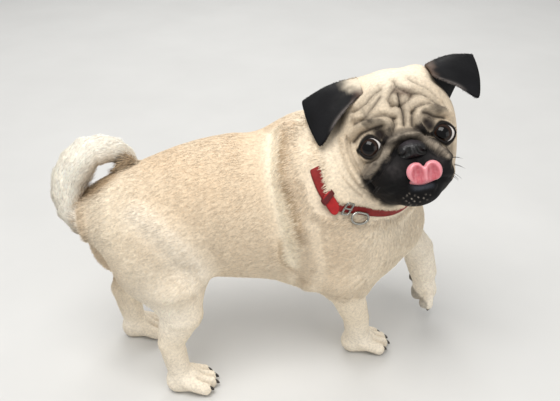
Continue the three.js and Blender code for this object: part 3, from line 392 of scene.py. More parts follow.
def eye_angles(q, side):
    """Across and up from the middle of the opening, in mm over the eyeball, and distance from it."""
    gaze = unit([1, side * 0.12, 0.02])
    right = unit(np.cross([0, 0, 1], gaze))
    v = q - (EYE_HEAD * [1, side, 1])[:, None]
    g = gaze @ v
    across = np.arctan2(side * (right @ v), g) * EYE_RADIUS
    up = np.arctan2(np.cross(gaze, right) @ v, g) * EYE_RADIUS
    return across, up, np.sqrt((v * v).sum(0))


def lid_edge(q, side):
    """How far outside the almond opening of the lids a place lies, in mm."""
    across, up, _ = eye_angles(q, side)
    across, up = across - 0.3, up + 0.18 * across - 0.2
    tall = np.where(up > 0, 8.0, 8.2) * np.maximum(1 - (across / 10.6) ** 2, 0) ** 0.62
    return np.maximum(np.abs(up) - tall, np.abs(across) - 10.6)


def lids(p):
    """The eyelids: skin that closes over the eyeball all round its opening."""
    q = to_head(p)
    d = np.full(p.shape[1], 1e3)
    for side in (-1, 1):
        _, _, far = eye_angles(q, side)
        edge = lid_edge(q, side)
        cover, rim = smooth(edge, -0.5, 0.9), bell(edge - 1.2, 1.1)
        d = np.minimum(d, far - (EYE_RADIUS / HEAD_SIZE - 1.3 + 2.5 * cover + 0.5 * rim))
    return d * HEAD_SIZE


def lower_lip(p):
    return limb(to_head(p), (53.5, -4, -43.5), (53.5, 10, -43.5), 5.2, 5.2) * HEAD_SIZE


def skin_field(p):
    d_body, d_head, d_tail = masses(p)
    gap = strap_gap(p)
    pressed = bell(np.maximum(np.abs(gap) - 2, 0), 3.4) * (1 - nape_cover(p))
    d = joined(
        smin(d_body, d_head, 14) + 3.4 * pressed - 1.5 * bell(gap, 9),
        (smin(d_tail, limb(p, *TAIL_FILL), 5), 4),
        *((paw_field(p, paw) + toe_groove(p, paw), 6) for paw in PAWS.values()),
    )
    d = smin(d + coat_depth(p, d_body, d_head, d_tail), pad_field(p), 1.5)
    near = d_head < 12
    if near.any():
        part = p[:, near]
        d[near] = joined(d[near], (lids(part), 1.6), (lower_lip(part), 3))
    return np.maximum(d, 0.4 - p[2])


# Closed mesh of a field on a grid whose steps may differ along each axis
def graded(lo, hi, fine_lo, fine_hi):
    def steps(a, b, cell, least=0):
        return max(int(math.ceil((b - a) / cell)), least)

    return np.concatenate([
        np.linspace(lo, fine_lo, steps(lo, fine_lo, BODY_CELL, 1), endpoint=False),
        np.linspace(fine_lo, fine_hi, steps(fine_lo, fine_hi, HEAD_CELL), endpoint=False),
        np.linspace(fine_hi, hi, steps(fine_hi, hi, BODY_CELL, 1) + 1),
    ])


CORNERS = np.array([[i & 1, (i >> 1) & 1, (i >> 2) & 1] for i in range(8)])
EDGES = [(i, i | (1 << b)) for i in range(8) for b in range(3) if not i & (1 << b)]


def grid_values(field, axes, stride, reach):
    """The field on the grid: worked out on every point near the surface, copied elsewhere."""
    shape = tuple(len(a) for a in axes)
    if stride == 1:
        return field(np.stack(np.meshgrid(*axes, indexing="ij")).reshape(3, -1)).reshape(shape)
    rough_axes = [a[np.unique(np.append(np.arange(0, len(a), stride), len(a) - 1))] for a in axes]
    rough = grid_values(field, rough_axes, 1, reach)
    near = [np.abs(r[None, :] - a[:, None]).argmin(1) for a, r in zip(axes, rough_axes)]
    values = rough[np.ix_(*near)]
    close = np.nonzero(np.abs(values) < reach)
    points = np.stack([axes[a][close[a]] for a in range(3)])
    chunk = 400000
    values[close] = np.concatenate(
        [field(points[:, i:i + chunk]) for i in range(0, points.shape[1], chunk)])
    return values


def gradient(field, p, h=0.3):
    steps = h * np.eye(3)[:, :, None]
    return np.stack([(field(p + step) - field(p - step)) / (2 * h) for step in steps])


def settle(field, p, reach, times=2):
    """Points moved onto the surface, none further than reach."""
    q = p
    for _ in range(times):
        g = gradient(field, q)
        q = q - g * (field(q) / np.maximum((g * g).sum(0), 0.05))
    move = q - p
    return p + move * np.minimum(1, reach / np.maximum(length_of(move), 1e-9))


def net(field, axes, stride=4, reach=15.0):
    """Vertices (n, 3) and quads (m, 4) of the surface where the field is zero."""
    v = grid_values(field, axes, stride, reach)
    inside = v < 0
    count = np.zeros(tuple(s - 1 for s in v.shape), np.int8)
    for dx, dy, dz in CORNERS:
        count += inside[dx:dx + count.shape[0], dy:dy + count.shape[1], dz:dz + count.shape[2]]
    cells = np.stack(np.nonzero((count > 0) & (count < 8)))
    values = np.stack([v[tuple(cells + c[:, None])] for c in CORNERS])
    total = np.zeros((3, cells.shape[1]))
    hits = np.zeros(cells.shape[1])
    for a, b in EDGES:
        cross = (values[a] < 0) != (values[b] < 0)
        t = np.where(cross, values[a] / np.where(cross, values[a] - values[b], 1), 0)
        place = CORNERS[a][:, None] + (CORNERS[b] - CORNERS[a])[:, None] * t
        total += np.where(cross, place, 0)
        hits += cross
    local = total / hits
    points = np.stack([ax[c] + t * (ax[c + 1] - ax[c]) for ax, c, t in zip(axes, cells, local)])
    ids = np.full(count.shape, -1, np.int64)
    ids[tuple(cells)] = np.arange(cells.shape[1])
    quads = []
    for a in range(3):
        b, c = (a + 1) % 3, (a + 2) % 3
        edge = np.stack(np.nonzero(np.diff(inside, axis=a)))
        keep = (edge[b] > 0) & (edge[c] > 0)
        keep &= (edge[b] < v.shape[b] - 1) & (edge[c] < v.shape[c] - 1)
        edge = edge[:, keep]
        step_b, step_c = np.eye(3, dtype=int)[[b, c], :, None]
        around = (edge - step_b - step_c, edge - step_c, edge, edge - step_b)
        ring = np.stack([ids[tuple(cell)] for cell in around], 1)
        flip = ~inside[tuple(edge)]
        ring[flip] = ring[flip][:, ::-1]
        quads.append(ring)
    return points.T, np.concatenate(quads)


# Wrinkles of the head, as lines of [left, up] seen from the front: height, half width, and for grooves
# the darkness of the painted shadow in them
RIDGES = [
    (4.6, 4.4, [(-41, -24), (-34, -14), (-26, -8), (-21, -3), (-14, 3), (-7, 5), (-1, 5.6), (6, 3.5)]),
    (4.6, 4.4, [(6, 3.5), (12.5, -1), (19, -7), (24.5, -13), (29, -21)]),
    (3.6, 3.9, [(-46, 14), (-39, 20), (-31, 22), (-23, 22.4), (-16, 21), (-13.3, 16), (-14, 10.6),
                (-19, 4.3)]),
    (3.6, 3.9, [(45, 15), (36, 20), (28, 23.5), (20, 25), (13, 23.5), (10, 18.5), (10.6, 13),
                (13, 7)]),
    (2.2, 4.4, [(-6, 27), (-13, 29.5), (-20, 31), (-28, 28), (-37, 27)]),
    (2.2, 4.4, [(5, 30), (12, 32.5), (20, 32.5), (28, 29), (36, 22)]),
    (2.0, 4.2, [(-13, 44), (-21, 40), (-29, 35), (-38, 30)]),
    (2.0, 4.2, [(12, 46), (20, 42.5), (28, 37), (36, 29)]),
    (1.8, 5.0, [(-6, 54), (-17, 53), (-28, 46), (-37, 41)]),
    (1.8, 5.0, [(6, 54), (18, 53), (28, 46), (36, 38)]),
    (2.4, 3.4, [(-55.5, 11), (-56, -3), (-53, -15), (-46.5, -29)]),
    (2.6, 4.6, [(-67, 7), (-65, -8), (-59, -24), (-48, -38)]),
    (3.0, 3.4, [(-5.0, 38.5), (-4.8, 36)]),
    (3.0, 3.4, [(4.2, 37.5), (4.4, 35.5)]),
]
GROOVES = [
    (1.8, 1.5, 0.55, [(-0.4, 55), (0.4, 50), (3.7, 46), (8, 42), (12, 40)]),
    (2.0, 1.6, 0.62, [(-0.3, 48), (-6, 43.4), (-10, 38), (-8.6, 32)]),
    (2.0, 1.6, 0.62, [(-8.6, 32.3), (-1.5, 31)]),
    (2.0, 1.6, 0.55, [(12, 39), (7, 34), (0.4, 31.5)]),
    (1.8, 1.5, 0.95, [(0, 43), (-0.6, 38), (-1, 35), (-1.3, 32)]),
    (2.4, 1.6, 0.95, [(-1.3, 32), (-0.2, 27), (-0.2, 21), (-1.3, 13)]),
    (2.2, 1.8, 0.55, [(-14, 49), (-22.6, 44.5), (-29, 39), (-35.5, 36), (-41, 35)]),
    (2.2, 1.8, 0.62, [(-16.4, 42), (-22.7, 36), (-28.7, 30.5), (-34.7, 25.6), (-42, 23)]),
    (2.0, 1.6, 0.70, [(-8, 21), (-12.5, 23), (-17, 25.5), (-24.4, 25.6), (-30, 25), (-36, 25)]),
    (2.6, 1.8, 0.85, [(-9.7, 20.5), (-9.3, 15), (-12, 9.7), (-16, 5), (-20, -0.5)]),
    (2.4, 2.0, 0.60, [(-20, -0.5), (-28, -8), (-36, -17), (-43, -25)]),
    (2.6, 2.2, 0.90, [(-20, 17), (-30, 16), (-38, 14), (-45, 8)]),
    (2.2, 1.8, 0.50, [(14, 53.6), (20.6, 47), (28.6, 41), (33.6, 34)]),
    (2.2, 1.8, 0.62, [(14, 40), (20.7, 38), (27, 32.7), (33, 26), (39.4, 21)]),
    (2.0, 1.6, 0.70, [(8, 23), (12, 26.6), (18, 28), (26, 28), (33, 25)]),
    (2.6, 1.8, 0.85, [(9, 24), (6.7, 19), (5.8, 11.5), (8.8, 6.4), (16, 0.6)]),
    (2.4, 2.0, 0.60, [(16, 0.6), (22, -5), (28, -12), (32, -19)]),
    (2.6, 2.2, 0.90, [(18, 21.6), (23, 20), (28, 16.6), (38, 13.8)]),
    (3.4, 2.2, 0.95, [(-34.5, -26), (-27, -17), (-20, -11), (-12, -4), (-4, 0), (3, 0.7), (10, -2),
                      (15, -8.6), (20, -15), (25, -21)]),
    (3.0, 2.2, 0.45, [(-51, 12), (-51.5, 0), (-50, -10), (-45, -24), (-37, -38)]),
    (2.8, 2.4, 0.25, [(-60, 10), (-60, -6), (-56, -20), (-48, -34), (-38, -46)]),
    (2.6, 2.6, 0.22, [(-74, 4), (-69, -12), (-60, -28), (-48, -42)]),
    (1.8, 2.4, 0.25, [(45, 6), (46, -6), (42, -18), (37, -28)]),
]
POCKETS = [(2.6, 4.6, (-24, 11)), (2.6, 4.4, (20, 13)), (1.6, 4.0, (-28, -13.5)), (1.4, 4, (27, -14))]
MOUTH = [(62, 4, -36), (58, 17, -38), (49, 29, -41), (37, 39, -42), (25, 45, -40)]


# Folds of the body, as lines in space: height, half width, path
BODY_BAND = (1.5, 10, [(-4, -9, 262), (-7, -28, 254), (-8, -43, 242), (-7, -55, 228), (-2, -63, 210),
                        (2, -67, 192), (4, -65, 171), (5, -60, 150)])
BODY_CREASE = (-0.2, 3.6, [(5, -25, 267), (2, -38, 256), (0, -51, 244), (2, -61, 231), (7, -67, 214),
                           (12, -71, 196), (16, -72, 179)])
BODY_HOLLOW = (-0.6, 4.4, [(-6, -64, 176), (-4, -60, 153), (7, -57, 137), (20, -59, 123)])
KNEE_RIDGE = (2.0, 9.0, [(-131, -47, 207), (-116, -57, 196), (-100, -62, 178), (-86, -60, 156),
                         (-76, -54, 134)])
THIGH_LINE = [(-184, -19, 199), (-183, -30, 182), (-182, -28, 160), (-180, -22, 140),
              (-168, -34, 118)]

def line_gap(x, y, path):
    """Distance to a line of points in a plane."""
    def squared(ax, ay, bx, by):
        vx, vy = bx - ax, by - ay
        t = np.clip(((x - ax) * vx + (y - ay) * vy) / (vx * vx + vy * vy), 0, 1)
        return (x - ax - vx * t) ** 2 + (y - ay - vy * t) ** 2

    return np.sqrt(nearest(squared(*a, *b) for a, b in zip(path, path[1:])))


def fold_height(p):
    folds = (BODY_BAND, BODY_CREASE, BODY_HOLLOW, KNEE_RIDGE)
    return sum(height * bell(path_gap(p, path), width) for height, width, path in folds)


def mouth_gap(q):
    return nearest(path_gap(q, [(f, l * side, u) for f, l, u in MOUTH]) for side in (-1, 1))


def face_front(q):
    """1 where the surface looks forward enough for the front view's lines to hold."""
    return smooth(q[0], -6, 14)


def eye_gap(q, side):
    """Distance from the middle of the eye, across the gaze."""
    v = q - (EYE_HEAD * [1, side, 1])[:, None]
    along = unit([1, side * 0.22, 0.02]) @ v
    return np.sqrt(np.maximum((v * v).sum(0) - along * along, 0)) + 40 * (along < -6)


def wrinkle_height(q):
    sides = smooth(q[0], -34, -16) * smooth(np.abs(q[1]), 40, 50)
    calm = smooth(np.minimum(eye_gap(q, -1), eye_gap(q, 1)), 12.5, 15.5)
    h = np.zeros(q.shape[1])
    for height, width, path in RIDGES:
        h += height * bell(line_gap(q[1], q[2], path), width)
    for depth, width, _, path in GROOVES:
        h -= depth * bell(line_gap(q[1], q[2], path), width)
    for depth, width, middle in POCKETS:
        h -= depth * spot(q[1], q[2], middle, (width, width))
    nose = np.hypot((q[1] - 0.5) / 13, (q[2] + 10) / 11.5)
    h *= np.maximum(face_front(q), sides) * calm * smooth(nose, 0.8, 1.15) * 1.4
    mouth = mouth_gap(q)
    h -= 2.2 * bell(mouth, 1.9) * smooth(q[0], 10, 24)
    h += 1.2 * bell(mouth - 5, 3.4) * smooth(q[0], 20, 34)
    lip_line = bell(q[1] - 1, 1.3) * smooth(q[0], 40, 50) * smooth(-q[2], 17, 19)
    return h - 1.6 * lip_line * fade(-q[2], 28, 34)


# Repeatable soft noise, about -1 to 1
def hash01(ix, iy, iz, seed):
    n = (ix * 73856093) ^ (iy * 19349663) ^ (iz * 83492791) ^ (seed * 2654435)
    n = (n ^ (n >> 13)) * 1274126177
    n = (n ^ (n >> 16)) & 0xFFFFFF
    return n / float(0xFFFFFF)


def noise(p, size, seed):
    g = p / size
    base = np.floor(g).astype(np.int64)
    f = g - base
    f = f * f * (3 - 2 * f)
    total = 0
    for corner in CORNERS:
        w = np.where(corner[:, None], f, 1 - f).prod(0)
        total = total + w * hash01(*(base + corner[:, None]), seed)
    return total * 2 - 1


def srgb(r, g, b):
    c = np.array([r, g, b], float) / 255
    return np.where(c <= 0.04045, c / 12.92, ((c + 0.055) / 1.055) ** 2.4)


CREAM = srgb(240, 226, 203)
FAWN = srgb(222, 200, 171)
TAN = srgb(196, 164, 124)
PALE = srgb(247, 238, 222)
BLACK = srgb(12, 11, 12)
SOOT = srgb(38, 31, 29)
UMBER = srgb(84, 66, 54)
PAD = srgb(40, 35, 35)
GREY_TAN = srgb(150, 138, 122)
ROLL_GREY = srgb(134, 124, 111)
# painted highlight along the raised roll of the shoulder
BAND_HIGHLIGHT = srgb(246, 234, 210)
SNOW = srgb(254, 248, 236)
# painted sheen on the upper lips and painted wet highlight on the lower lip
LIP_SHEEN = srgb(54, 50, 50)
LIP_HIGHLIGHT = srgb(66, 70, 78)
SPECKLE = srgb(176, 166, 156)
SPECKLE_REACH = (0.5477, 0.5477)
# Lines and spots of the face, as [left, up] seen from the front
MASK_OUTLINE = [
    (-34, -24), (-27, -16), (-20, -10.5), (-12, -3.6), (-4, 0.4), (3, 1), (10, -1.6), (15, -8),
    (20, -14.5), (27, -22), (34, -28), (38, -36), (34, -47), (24, -57), (8, -64), (-5.5, -65),
    (-19.5, -60), (-31, -53), (-39, -43.5), (-45, -34), (-42, -26),
]
EAR_SHADES = ([(-33, 47), (-54, 29), (-70, 10)], [(38, 50), (60, 36), (78, 26)])
CHIN_DOTS = [(-11.4, -48.2, 0.7), (-9.2, -46.4, 0.5), (-7.9, -51.6, 1.0), (-5.1, -48.9, 0.6),
             (-12.3, -52.8, 0.8), (-9.8, -54.9, 0.5), (-5.7, -54.1, 0.9), (-2.2, -51.2, 0.7),
             (-0.6, -55.7, 0.5), (2.4, -52.9, 0.9), (4.6, -49.8, 0.5), (-8.1, -57.6, 0.6),
             (5.9, -55.2, 0.6), (-3.4, -58.4, 0.5), (-14.2, -49.9, 0.4), (8.3, -51.1, 0.4)]


def outline_gap(x, y, outline):
    """Signed distance to a closed outline, negative inside."""
    closed = outline + outline[:1]
    inside = np.zeros(x.shape, bool)
    for (ax, ay), (bx, by) in zip(closed, closed[1:]):
        if ay != by:
            inside ^= ((ay > y) != (by > y)) & (x < ax + (y - ay) * (bx - ax) / (by - ay))
    d = line_gap(x, y, closed)
    return np.where(inside, -d, d)


def blend_to(colour, target, amount):
    return colour + (target - colour) * np.clip(amount, 0, 1)[:, None]


def paint(colour, *coats):
    """Tones laid over a colour one after the other, each with its own amount."""
    for tone, amount in coats:
        colour = blend_to(colour, tone, amount)
    return colour


def plain_colour(tone, n):
    return np.tile(tone, (n, 1))


def coat_colour(p):
    """Markings of skin and coat alike, with painted shade in folds and creases and painted highlights
    on ridges: linear colour (n, 3) from place (3, n).
    """
    d_body, d_head, d_tail = masses(p)
    x, z = p[0], p[2]
    headed = smooth(d_body - d_head, -10, 14)
    tailed = smooth(d_body - d_tail, -2, 10)
    off_tail, off_head = 1 - tailed, 1 - headed
    plain = off_tail * off_head
    patch = noise(p, 34, 3) * 0.6 + noise(p, 15, 5) * 0.4
    saddle = smooth(z, 150, 225) * smooth(x, -165, -120) * fade(x, -10, 40)
    # painted shade over the backs of the thighs
    seat_shade = smooth(-x, 140, 168) * fade(z, 120, 175) * smooth(z, 60, 90)
    colour = paint(
        plain_colour(CREAM, p.shape[1]),
        (FAWN, (0.85 * saddle + 0.25 * patch * saddle) * off_tail),
        (FAWN, 0.55 * spot(x, z, (-40, 165), (75, 42)) * off_tail),
        (FAWN, 0.6 * spot(x, z, (48, 175), (26, 62)) * off_head),
        # painted shade on the backs of the thighs
        (TAN, 0.45 * seat_shade * off_tail),
        # painted highlight along the shoulder's roll
        (BAND_HIGHLIGHT, 0.85 * bell(path_gap(p, BODY_BAND[2]) ** 2, 121) * plain),
    )
    # painted shade along the shoulder's crease and in the hollow below it
    for _, _, path in (BODY_CREASE, BODY_HOLLOW):
        gap = path_gap(p, path)
        colour = paint(colour, (FAWN, 0.35 * bell(gap, 7) * plain),
                       (TAN * 0.7, 0.8 * bell(gap, 3) * plain))
    # painted shade where the tail meets the rump
    seam_shade = bell(d_body - d_tail, 5) * fade(np.minimum(d_body, d_tail), 1, 7)
    vent = limb(p, (-186, -6, 160), (-172, -8, 128), 9, 9)
    lifted = fade(leg_field(p, FORE_LEFT[1:], RAISED), 0, 34)
    hollow_shade = fade(length_of(p - TAIL_HOLE), 15, 32)
    colour = paint(
        colour,
        # painted highlight along the ridge from flank to knee, painted shade along the crease at the
        # back of the thigh
        (PALE, 0.65 * bell(path_gap(p, KNEE_RIDGE[2]), 11) * plain),
        (TAN * 0.85, 0.55 * bell(path_gap(p, THIGH_LINE), 9) * plain),
        # painted shade along the seam of tail and rump
        (TAN * 0.8, 0.7 * seam_shade * smooth(z, 150, 170)),
        (UMBER, 0.6 * fade(vent, -4, 9)),
        (PALE, 0.7 * spot(x, z, (-112, 112), (34, 40))),
        (SNOW, 0.95 * tailed),
        # painted shade in the hole of the tail's curl and where its tip lies on the back
        (TAN * 0.75, 0.8 * hollow_shade * (1 - 0.6 * tailed)),
        (TAN * 0.62, 0.75 * fade(limb(p, *TAIL_FILL), 1, 9) * (1 - 0.5 * tailed)),
        (PALE, 0.75 * lifted),
        # painted shade in the creases between the toes
        *((TAN * 0.7, 0.4 * toe_groove(p, paw)) for paw in PAWS.values()),
        (PAD, fade(pad_field(p) + 0.6 * noise(p, 3, 8), 1.4, 3.4)),
        (PALE, 0.6 * fade(z, 20, 70) * off_head),
    )
    return head_colour(p, colour * (1 + 0.05 * patch)[:, None], headed)


def head_colour(p, colour, headed):
    """Markings of the head laid over the colour of the coat, with painted shadow in its grooves and
    painted highlights on the nose roll and the lips.
    """
    q = to_head(p)
    ahead, left, up = q
    front = face_front(q)
    here = front * headed
    fine, rough = noise(p, 2.2, 9), noise(p, 5, 12)
    top = spot(left, up, (0, 58), (40, 26))
    # painted shadow in the grooves and pockets of the face, and a broader painted shade round each
    # groove
    groove_shadow = np.zeros(p.shape[1])
    shade = np.zeros(p.shape[1])
    for _, width, dark, path in GROOVES:
        gap = line_gap(left, up, path) / width
        groove_shadow = np.maximum(groove_shadow, dark * bell(gap, 0.62))
        shade = np.maximum(shade, (0.35 + 0.65 * dark) * bell(gap, 2.6))
    for _, width, middle in POCKETS[:2]:
        groove_shadow = np.maximum(groove_shadow, spot(left, up, middle, (width, width)))
    slope = up - 43.5 + 0.35 * (left - 3)
    thumb = np.exp(-(np.abs((left - 4) / 9.5) ** 3) - (slope / 5.2) ** 4)
    roll = line_gap(left, up, RIDGES[0][2] + RIDGES[1][2][1:])
    rolled = bell(roll ** 2, 5.4 ** 2) * front
    crest = bell(roll, 2.8)
    colour = paint(
        colour,
        (FAWN * 0.94, 0.6 * headed * (1 - top)),
        (PALE, 0.1 * headed * top),
        (GREY_TAN, 0.5 * shade * np.maximum(front, 0.6) * headed),
        (GREY_TAN, (0.36 + 0.16 * fine) * spot(left, up, (-1, 34), (34, 20)) * here),
        (UMBER * 1.25, 0.82 * thumb * front * (0.85 + 0.3 * rough)),
        (GREY_TAN, 0.45 * spot(left, up, (-0.5, 20), (6.5, 11)) * front),
        (ROLL_GREY * 0.8, rolled * 0.95),
    )
    # dark skin round the eyes
    for side in (-1, 1):
        gap = lid_edge(q, side) + 50 * (ahead < 18)
        below = spot(left, up, (side * 34, -16), (10, 8)) * (0.8 + 0.5 * rough)
        inner = ((left - side * 22.5) / 7.5) ** 2 + ((up - 9) / 8) ** 2
        dark = np.maximum(0.92 * fade(gap + 1.6 * rough, 3.5, 9.5), 0.75 * below)
        dark = np.maximum(dark, np.exp(-inner ** 1.4)) * (1 - 0.85 * rolled * smooth(gap, 2.2, 4.2))
        core = fade(gap, 2.4, 5.0) * (1 - 0.8 * rolled * smooth(gap, 2.5, 4))
        colour = paint(colour, (SOOT * 0.7, dark * front), (BLACK, 0.9 * core * front))
    # painted highlight along the crest of the nose roll
    roll_highlight = rolled * crest * smooth(ahead, 20, 34) * (1 - 0.45 * smooth(-left, 8, 26))
    colour = paint(colour, (SOOT, groove_shadow * here), (ROLL_GREY * 1.35, roll_highlight * (0.85 + 0.6 * fine)))
    # shade under the ears
    for root in EAR_SHADES:
        under = fade(line_gap(left, up, root) + 2 * rough, 1.5, 7)
        dark = under * fade(ahead, 14, 24) * smooth(ahead, -26, -10)
        colour = blend_to(colour, BLACK, 0.85 * dark * headed)
    # black mask over muzzle and chin, with a painted sheen on its upper lips, a painted wet highlight
    # on the lower lip, and the speckles on the chin
    mask = fade(outline_gap(left, up, MASK_OUTLINE) + 2.2 * rough + 1.2 * fine, -2.5, 3.5)
    mask = mask * smooth(ahead, -2, 12) * (1 - 0.95 * crest * smooth(up, -24, -16))
    throat = smooth(ahead, 4, 18) * smooth(-up, 44, 54) * fade(np.abs(left + 2), 24, 34)
    mask = np.maximum(mask, throat)
    lips = spot(np.abs(left), up, (19, -23), (9, 8)) * smooth(ahead, 30, 44)
    lip = np.exp(-(((left - 3) / 9) ** 4 + ((up + 41.5) / 3.6) ** 4)) * smooth(ahead, 46, 54)
    chin = smooth(ahead, 30, 40)
    return paint(
        colour,
        (BLACK, mask * headed),
        (LIP_SHEEN, 0.7 * lips * (0.8 + 0.5 * fine) * mask),
        (LIP_HIGHLIGHT, 0.85 * lip),
        *((SPECKLE, pale * spot(left, up, (x, y), SPECKLE_REACH) * chin)
          for x, y, pale in CHIN_DOTS),
    )


# Meshes and materials
def to_row(points):
    return (np.asarray(points, float) + OFFSET) / 1000


def link(name, data):
    obj = bpy.data.objects.new(name, data)
    bpy.context.scene.collection.objects.link(obj)
    return obj


def mesh_object(name, points, faces, colours=None):
    """A mesh from dog-frame points (n, 3) and faces, with an optional colour for each point."""
    mesh = bpy.data.meshes.new(name)
    faces = np.asarray(faces, np.int32)
    starts = np.arange(0, faces.size, faces.shape[1], dtype=np.int32)
    mesh.vertices.add(len(points))
    mesh.vertices.foreach_set("co", to_row(points).astype(np.float32).ravel())
    mesh.loops.add(faces.size)
    mesh.loops.foreach_set("vertex_index", faces.ravel())
    mesh.polygons.add(len(faces))
    mesh.polygons.foreach_set("loop_start", starts)
    mesh.update(calc_edges=True)
    mesh.polygons.foreach_set("use_smooth", np.ones(len(faces), bool))
    if colours is not None:
        layer = mesh.color_attributes.new("marking", "FLOAT_COLOR", "POINT")
        rgba = np.ones((len(points), 4), np.float32)
        rgba[:, :3] = np.clip(colours, 0, 1)
        layer.data.foreach_set("color", rgba.ravel())
    return link(name, mesh)


def vertex_normals(points, faces):
    a = points[faces[:, 2]] - points[faces[:, 0]]
    b = points[faces[:, -1]] - points[faces[:, 1]]
    face = np.cross(a, b)
    out = np.zeros_like(points)
    for corner in faces.T:
        np.add.at(out, corner, face)
    return unit_rows(out)


class Shader:
    """A material with one Principled shader, built node by node."""

    def __init__(self, name, **sockets):
        self.material = bpy.data.materials.new(name)
        self.material.use_nodes = True
        self.nodes = self.material.node_tree.nodes
        self.links = self.material.node_tree.links
        self.main = self.nodes["Principled BSDF"]
        for key, value in sockets.items():
            self.plug(self.main, key.replace("_", " "), value)

    def plug(self, node, key, value):
        if isinstance(value, bpy.types.NodeSocket):
            self.links.new(value, node.inputs[key])
        else:
            node.inputs[key].default_value = value

    def add(self, kind, inputs, **settings):
        node = self.nodes.new(kind)
        for key, value in settings.items():
            setattr(node, key, value)
        for key, value in inputs.items():
            self.plug(node, key, value)
        return node

    def pattern(self, kind, output, **inputs):
        place = self.add("ShaderNodeTexCoord", {}).outputs["Object"]
        return self.add(kind, {"Vector": place, **inputs}).outputs[output]

    def noise(self, scale, detail=3.0):
        return self.pattern("ShaderNodeTexNoise", "Fac", Scale=scale, Detail=detail, Roughness=0.55)

    def mix(self, factor, a, b, mode="MIX"):
        mixed = self.add("ShaderNodeMix", {}, data_type="RGBA", blend_type=mode)
        for index, value in ((0, factor), (6, a), (7, b)):
            self.plug(mixed, index, value)
        return mixed.outputs[2]

    def spread(self, value, out_lo, out_hi, lo=0.3, hi=0.7):
        return self.add("ShaderNodeMapRange", {
            "Value": value, "From Min": lo, "From Max": hi, "To Min": out_lo, "To Max": out_hi,
        }).outputs["Result"]

    def marking(self):
        return self.add("ShaderNodeVertexColor", {}, layer_name="marking").outputs["Color"]

    def toned(self, scale, lo, hi):
        """The markings, made lighter and darker by a noise."""
        tone = self.spread(self.noise(scale), lo, hi)
        grey = self.add("ShaderNodeCombineColor", {"Red": tone, "Green": tone, "Blue": tone})
        return self.mix(1.0, self.marking(), grey.outputs["Color"], "MULTIPLY")

    def colour(self, socket):
        self.plug(self.main, "Base Color", socket)

    def roughness(self, height, lo, hi):
        self.plug(self.main, "Roughness", self.spread(height, lo, hi))

    def bump(self, height, distance, strength):
        bump = self.add("ShaderNodeBump", {
            "Height": height, "Distance": distance, "Strength": strength})
        self.plug(self.main, "Normal", bump.outputs["Normal"])
        return self.material


def finish(obj, material, slot, *nodes):
    """Gives a piece its material and its place on the still body."""
    obj.data.materials.append(material)
    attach(obj, "root")
    if nodes:
        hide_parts(*nodes)
    return obj


def coat_material(name, spread, roughness):
    s = Shader(name, Roughness=roughness, Specular_IOR_Level=0.16)
    s.colour(s.toned(420, 1 - spread, 1 + spread))
    s.roughness(s.noise(160), roughness - 0.08, roughness + 0.08)
    return s.bump(s.noise(900, 2), 0.0004, 0.5)


def eye_material():
    s = Shader("eye_wet", Roughness=0.1, Specular_IOR_Level=0.2, Coat_Weight=0.15,
               Coat_Roughness=0.03)
    s.colour(s.marking())
    return s.bump(s.noise(260, 2), 0.00003, 0.3)


def nose_material():
    s = Shader("nose_leather", Roughness=0.36, Specular_IOR_Level=0.4, Coat_Weight=0.15,
               Coat_Roughness=0.25)
    s.colour(s.toned(300, 0.8, 1.25))
    s.roughness(s.noise(500), 0.26, 0.5)
    return s.bump(s.pattern("ShaderNodeTexVoronoi", "Distance", Scale=900.0), 0.0005, 0.6)


def tongue_material():
    s = Shader("tongue_flesh", Roughness=0.34, Specular_IOR_Level=0.5, Coat_Weight=0.35,
               Coat_Roughness=0.2, Subsurface_Weight=0.25, Subsurface_Scale=0.004,
               Subsurface_Radius=(1.0, 0.35, 0.25))
    pale_dots = s.spread(s.noise(500, 2), 0.0, 0.25, 0.45, 0.7)
    s.colour(s.mix(pale_dots, s.marking(), (*srgb(224, 150, 156), 1)))
    return s.bump(s.noise(1500, 2), 0.0002, 0.35)


def horn_material():
    s = Shader("claw_horn", Roughness=0.34, Specular_IOR_Level=0.45)
    s.colour(s.marking())
    s.roughness(s.noise(700), 0.26, 0.46)
    return s.bump(s.noise(1400, 2), 0.0002, 0.4)


def leather_material():
    s = Shader("red_leather", Roughness=0.6, Specular_IOR_Level=0.3)
    grain = s.noise(1300, 4)
    s.colour(s.toned(240, 0.82, 1.14))
    s.roughness(grain, 0.5, 0.72)
    return s.bump(grain, 0.0004, 0.5)


def steel_material():
    s = Shader("plated_steel", Metallic=1.0, Roughness=0.28, Base_Color=(*srgb(158, 158, 152), 1))
    s.roughness(s.noise(600, 4), 0.2, 0.42)
    return s.bump(s.noise(900, 2), 0.0001, 0.3)


def floor_material():
    s = Shader("studio_floor", Roughness=0.85, Specular_IOR_Level=0.2)
    s.colour(s.mix(s.spread(s.noise(6), 0.0, 1.0), (0.64, 0.64, 0.63, 1), (0.67, 0.67, 0.66, 1)))
    return s.material


def skin_surface():
    axes = [graded(-216, 202, 16, 196), graded(-124, 94, -122, 62), graded(-3, 340, 152, 336)]
    points, quads = net(skin_field, axes)
    p = settle(skin_field, points.T, 1.5)
    headed = smooth(body_field(p) - head_field(p), -4, 10)
    h = wrinkle_height(to_head(p)) * headed * HEAD_SIZE + fold_height(p) * (1 - headed)
    return p.T + vertex_normals(p.T, quads) * h[:, None], quads


skin_points, skin_quads = skin_surface()
skin = mesh_object("skin", skin_points, skin_quads, coat_colour(skin_points.T))
finish(skin, coat_material("skin_coat", 0.16, 0.72), "fawn", "torso", "tail", "neck", "head", "face",
       *LEGS, *PAWS)


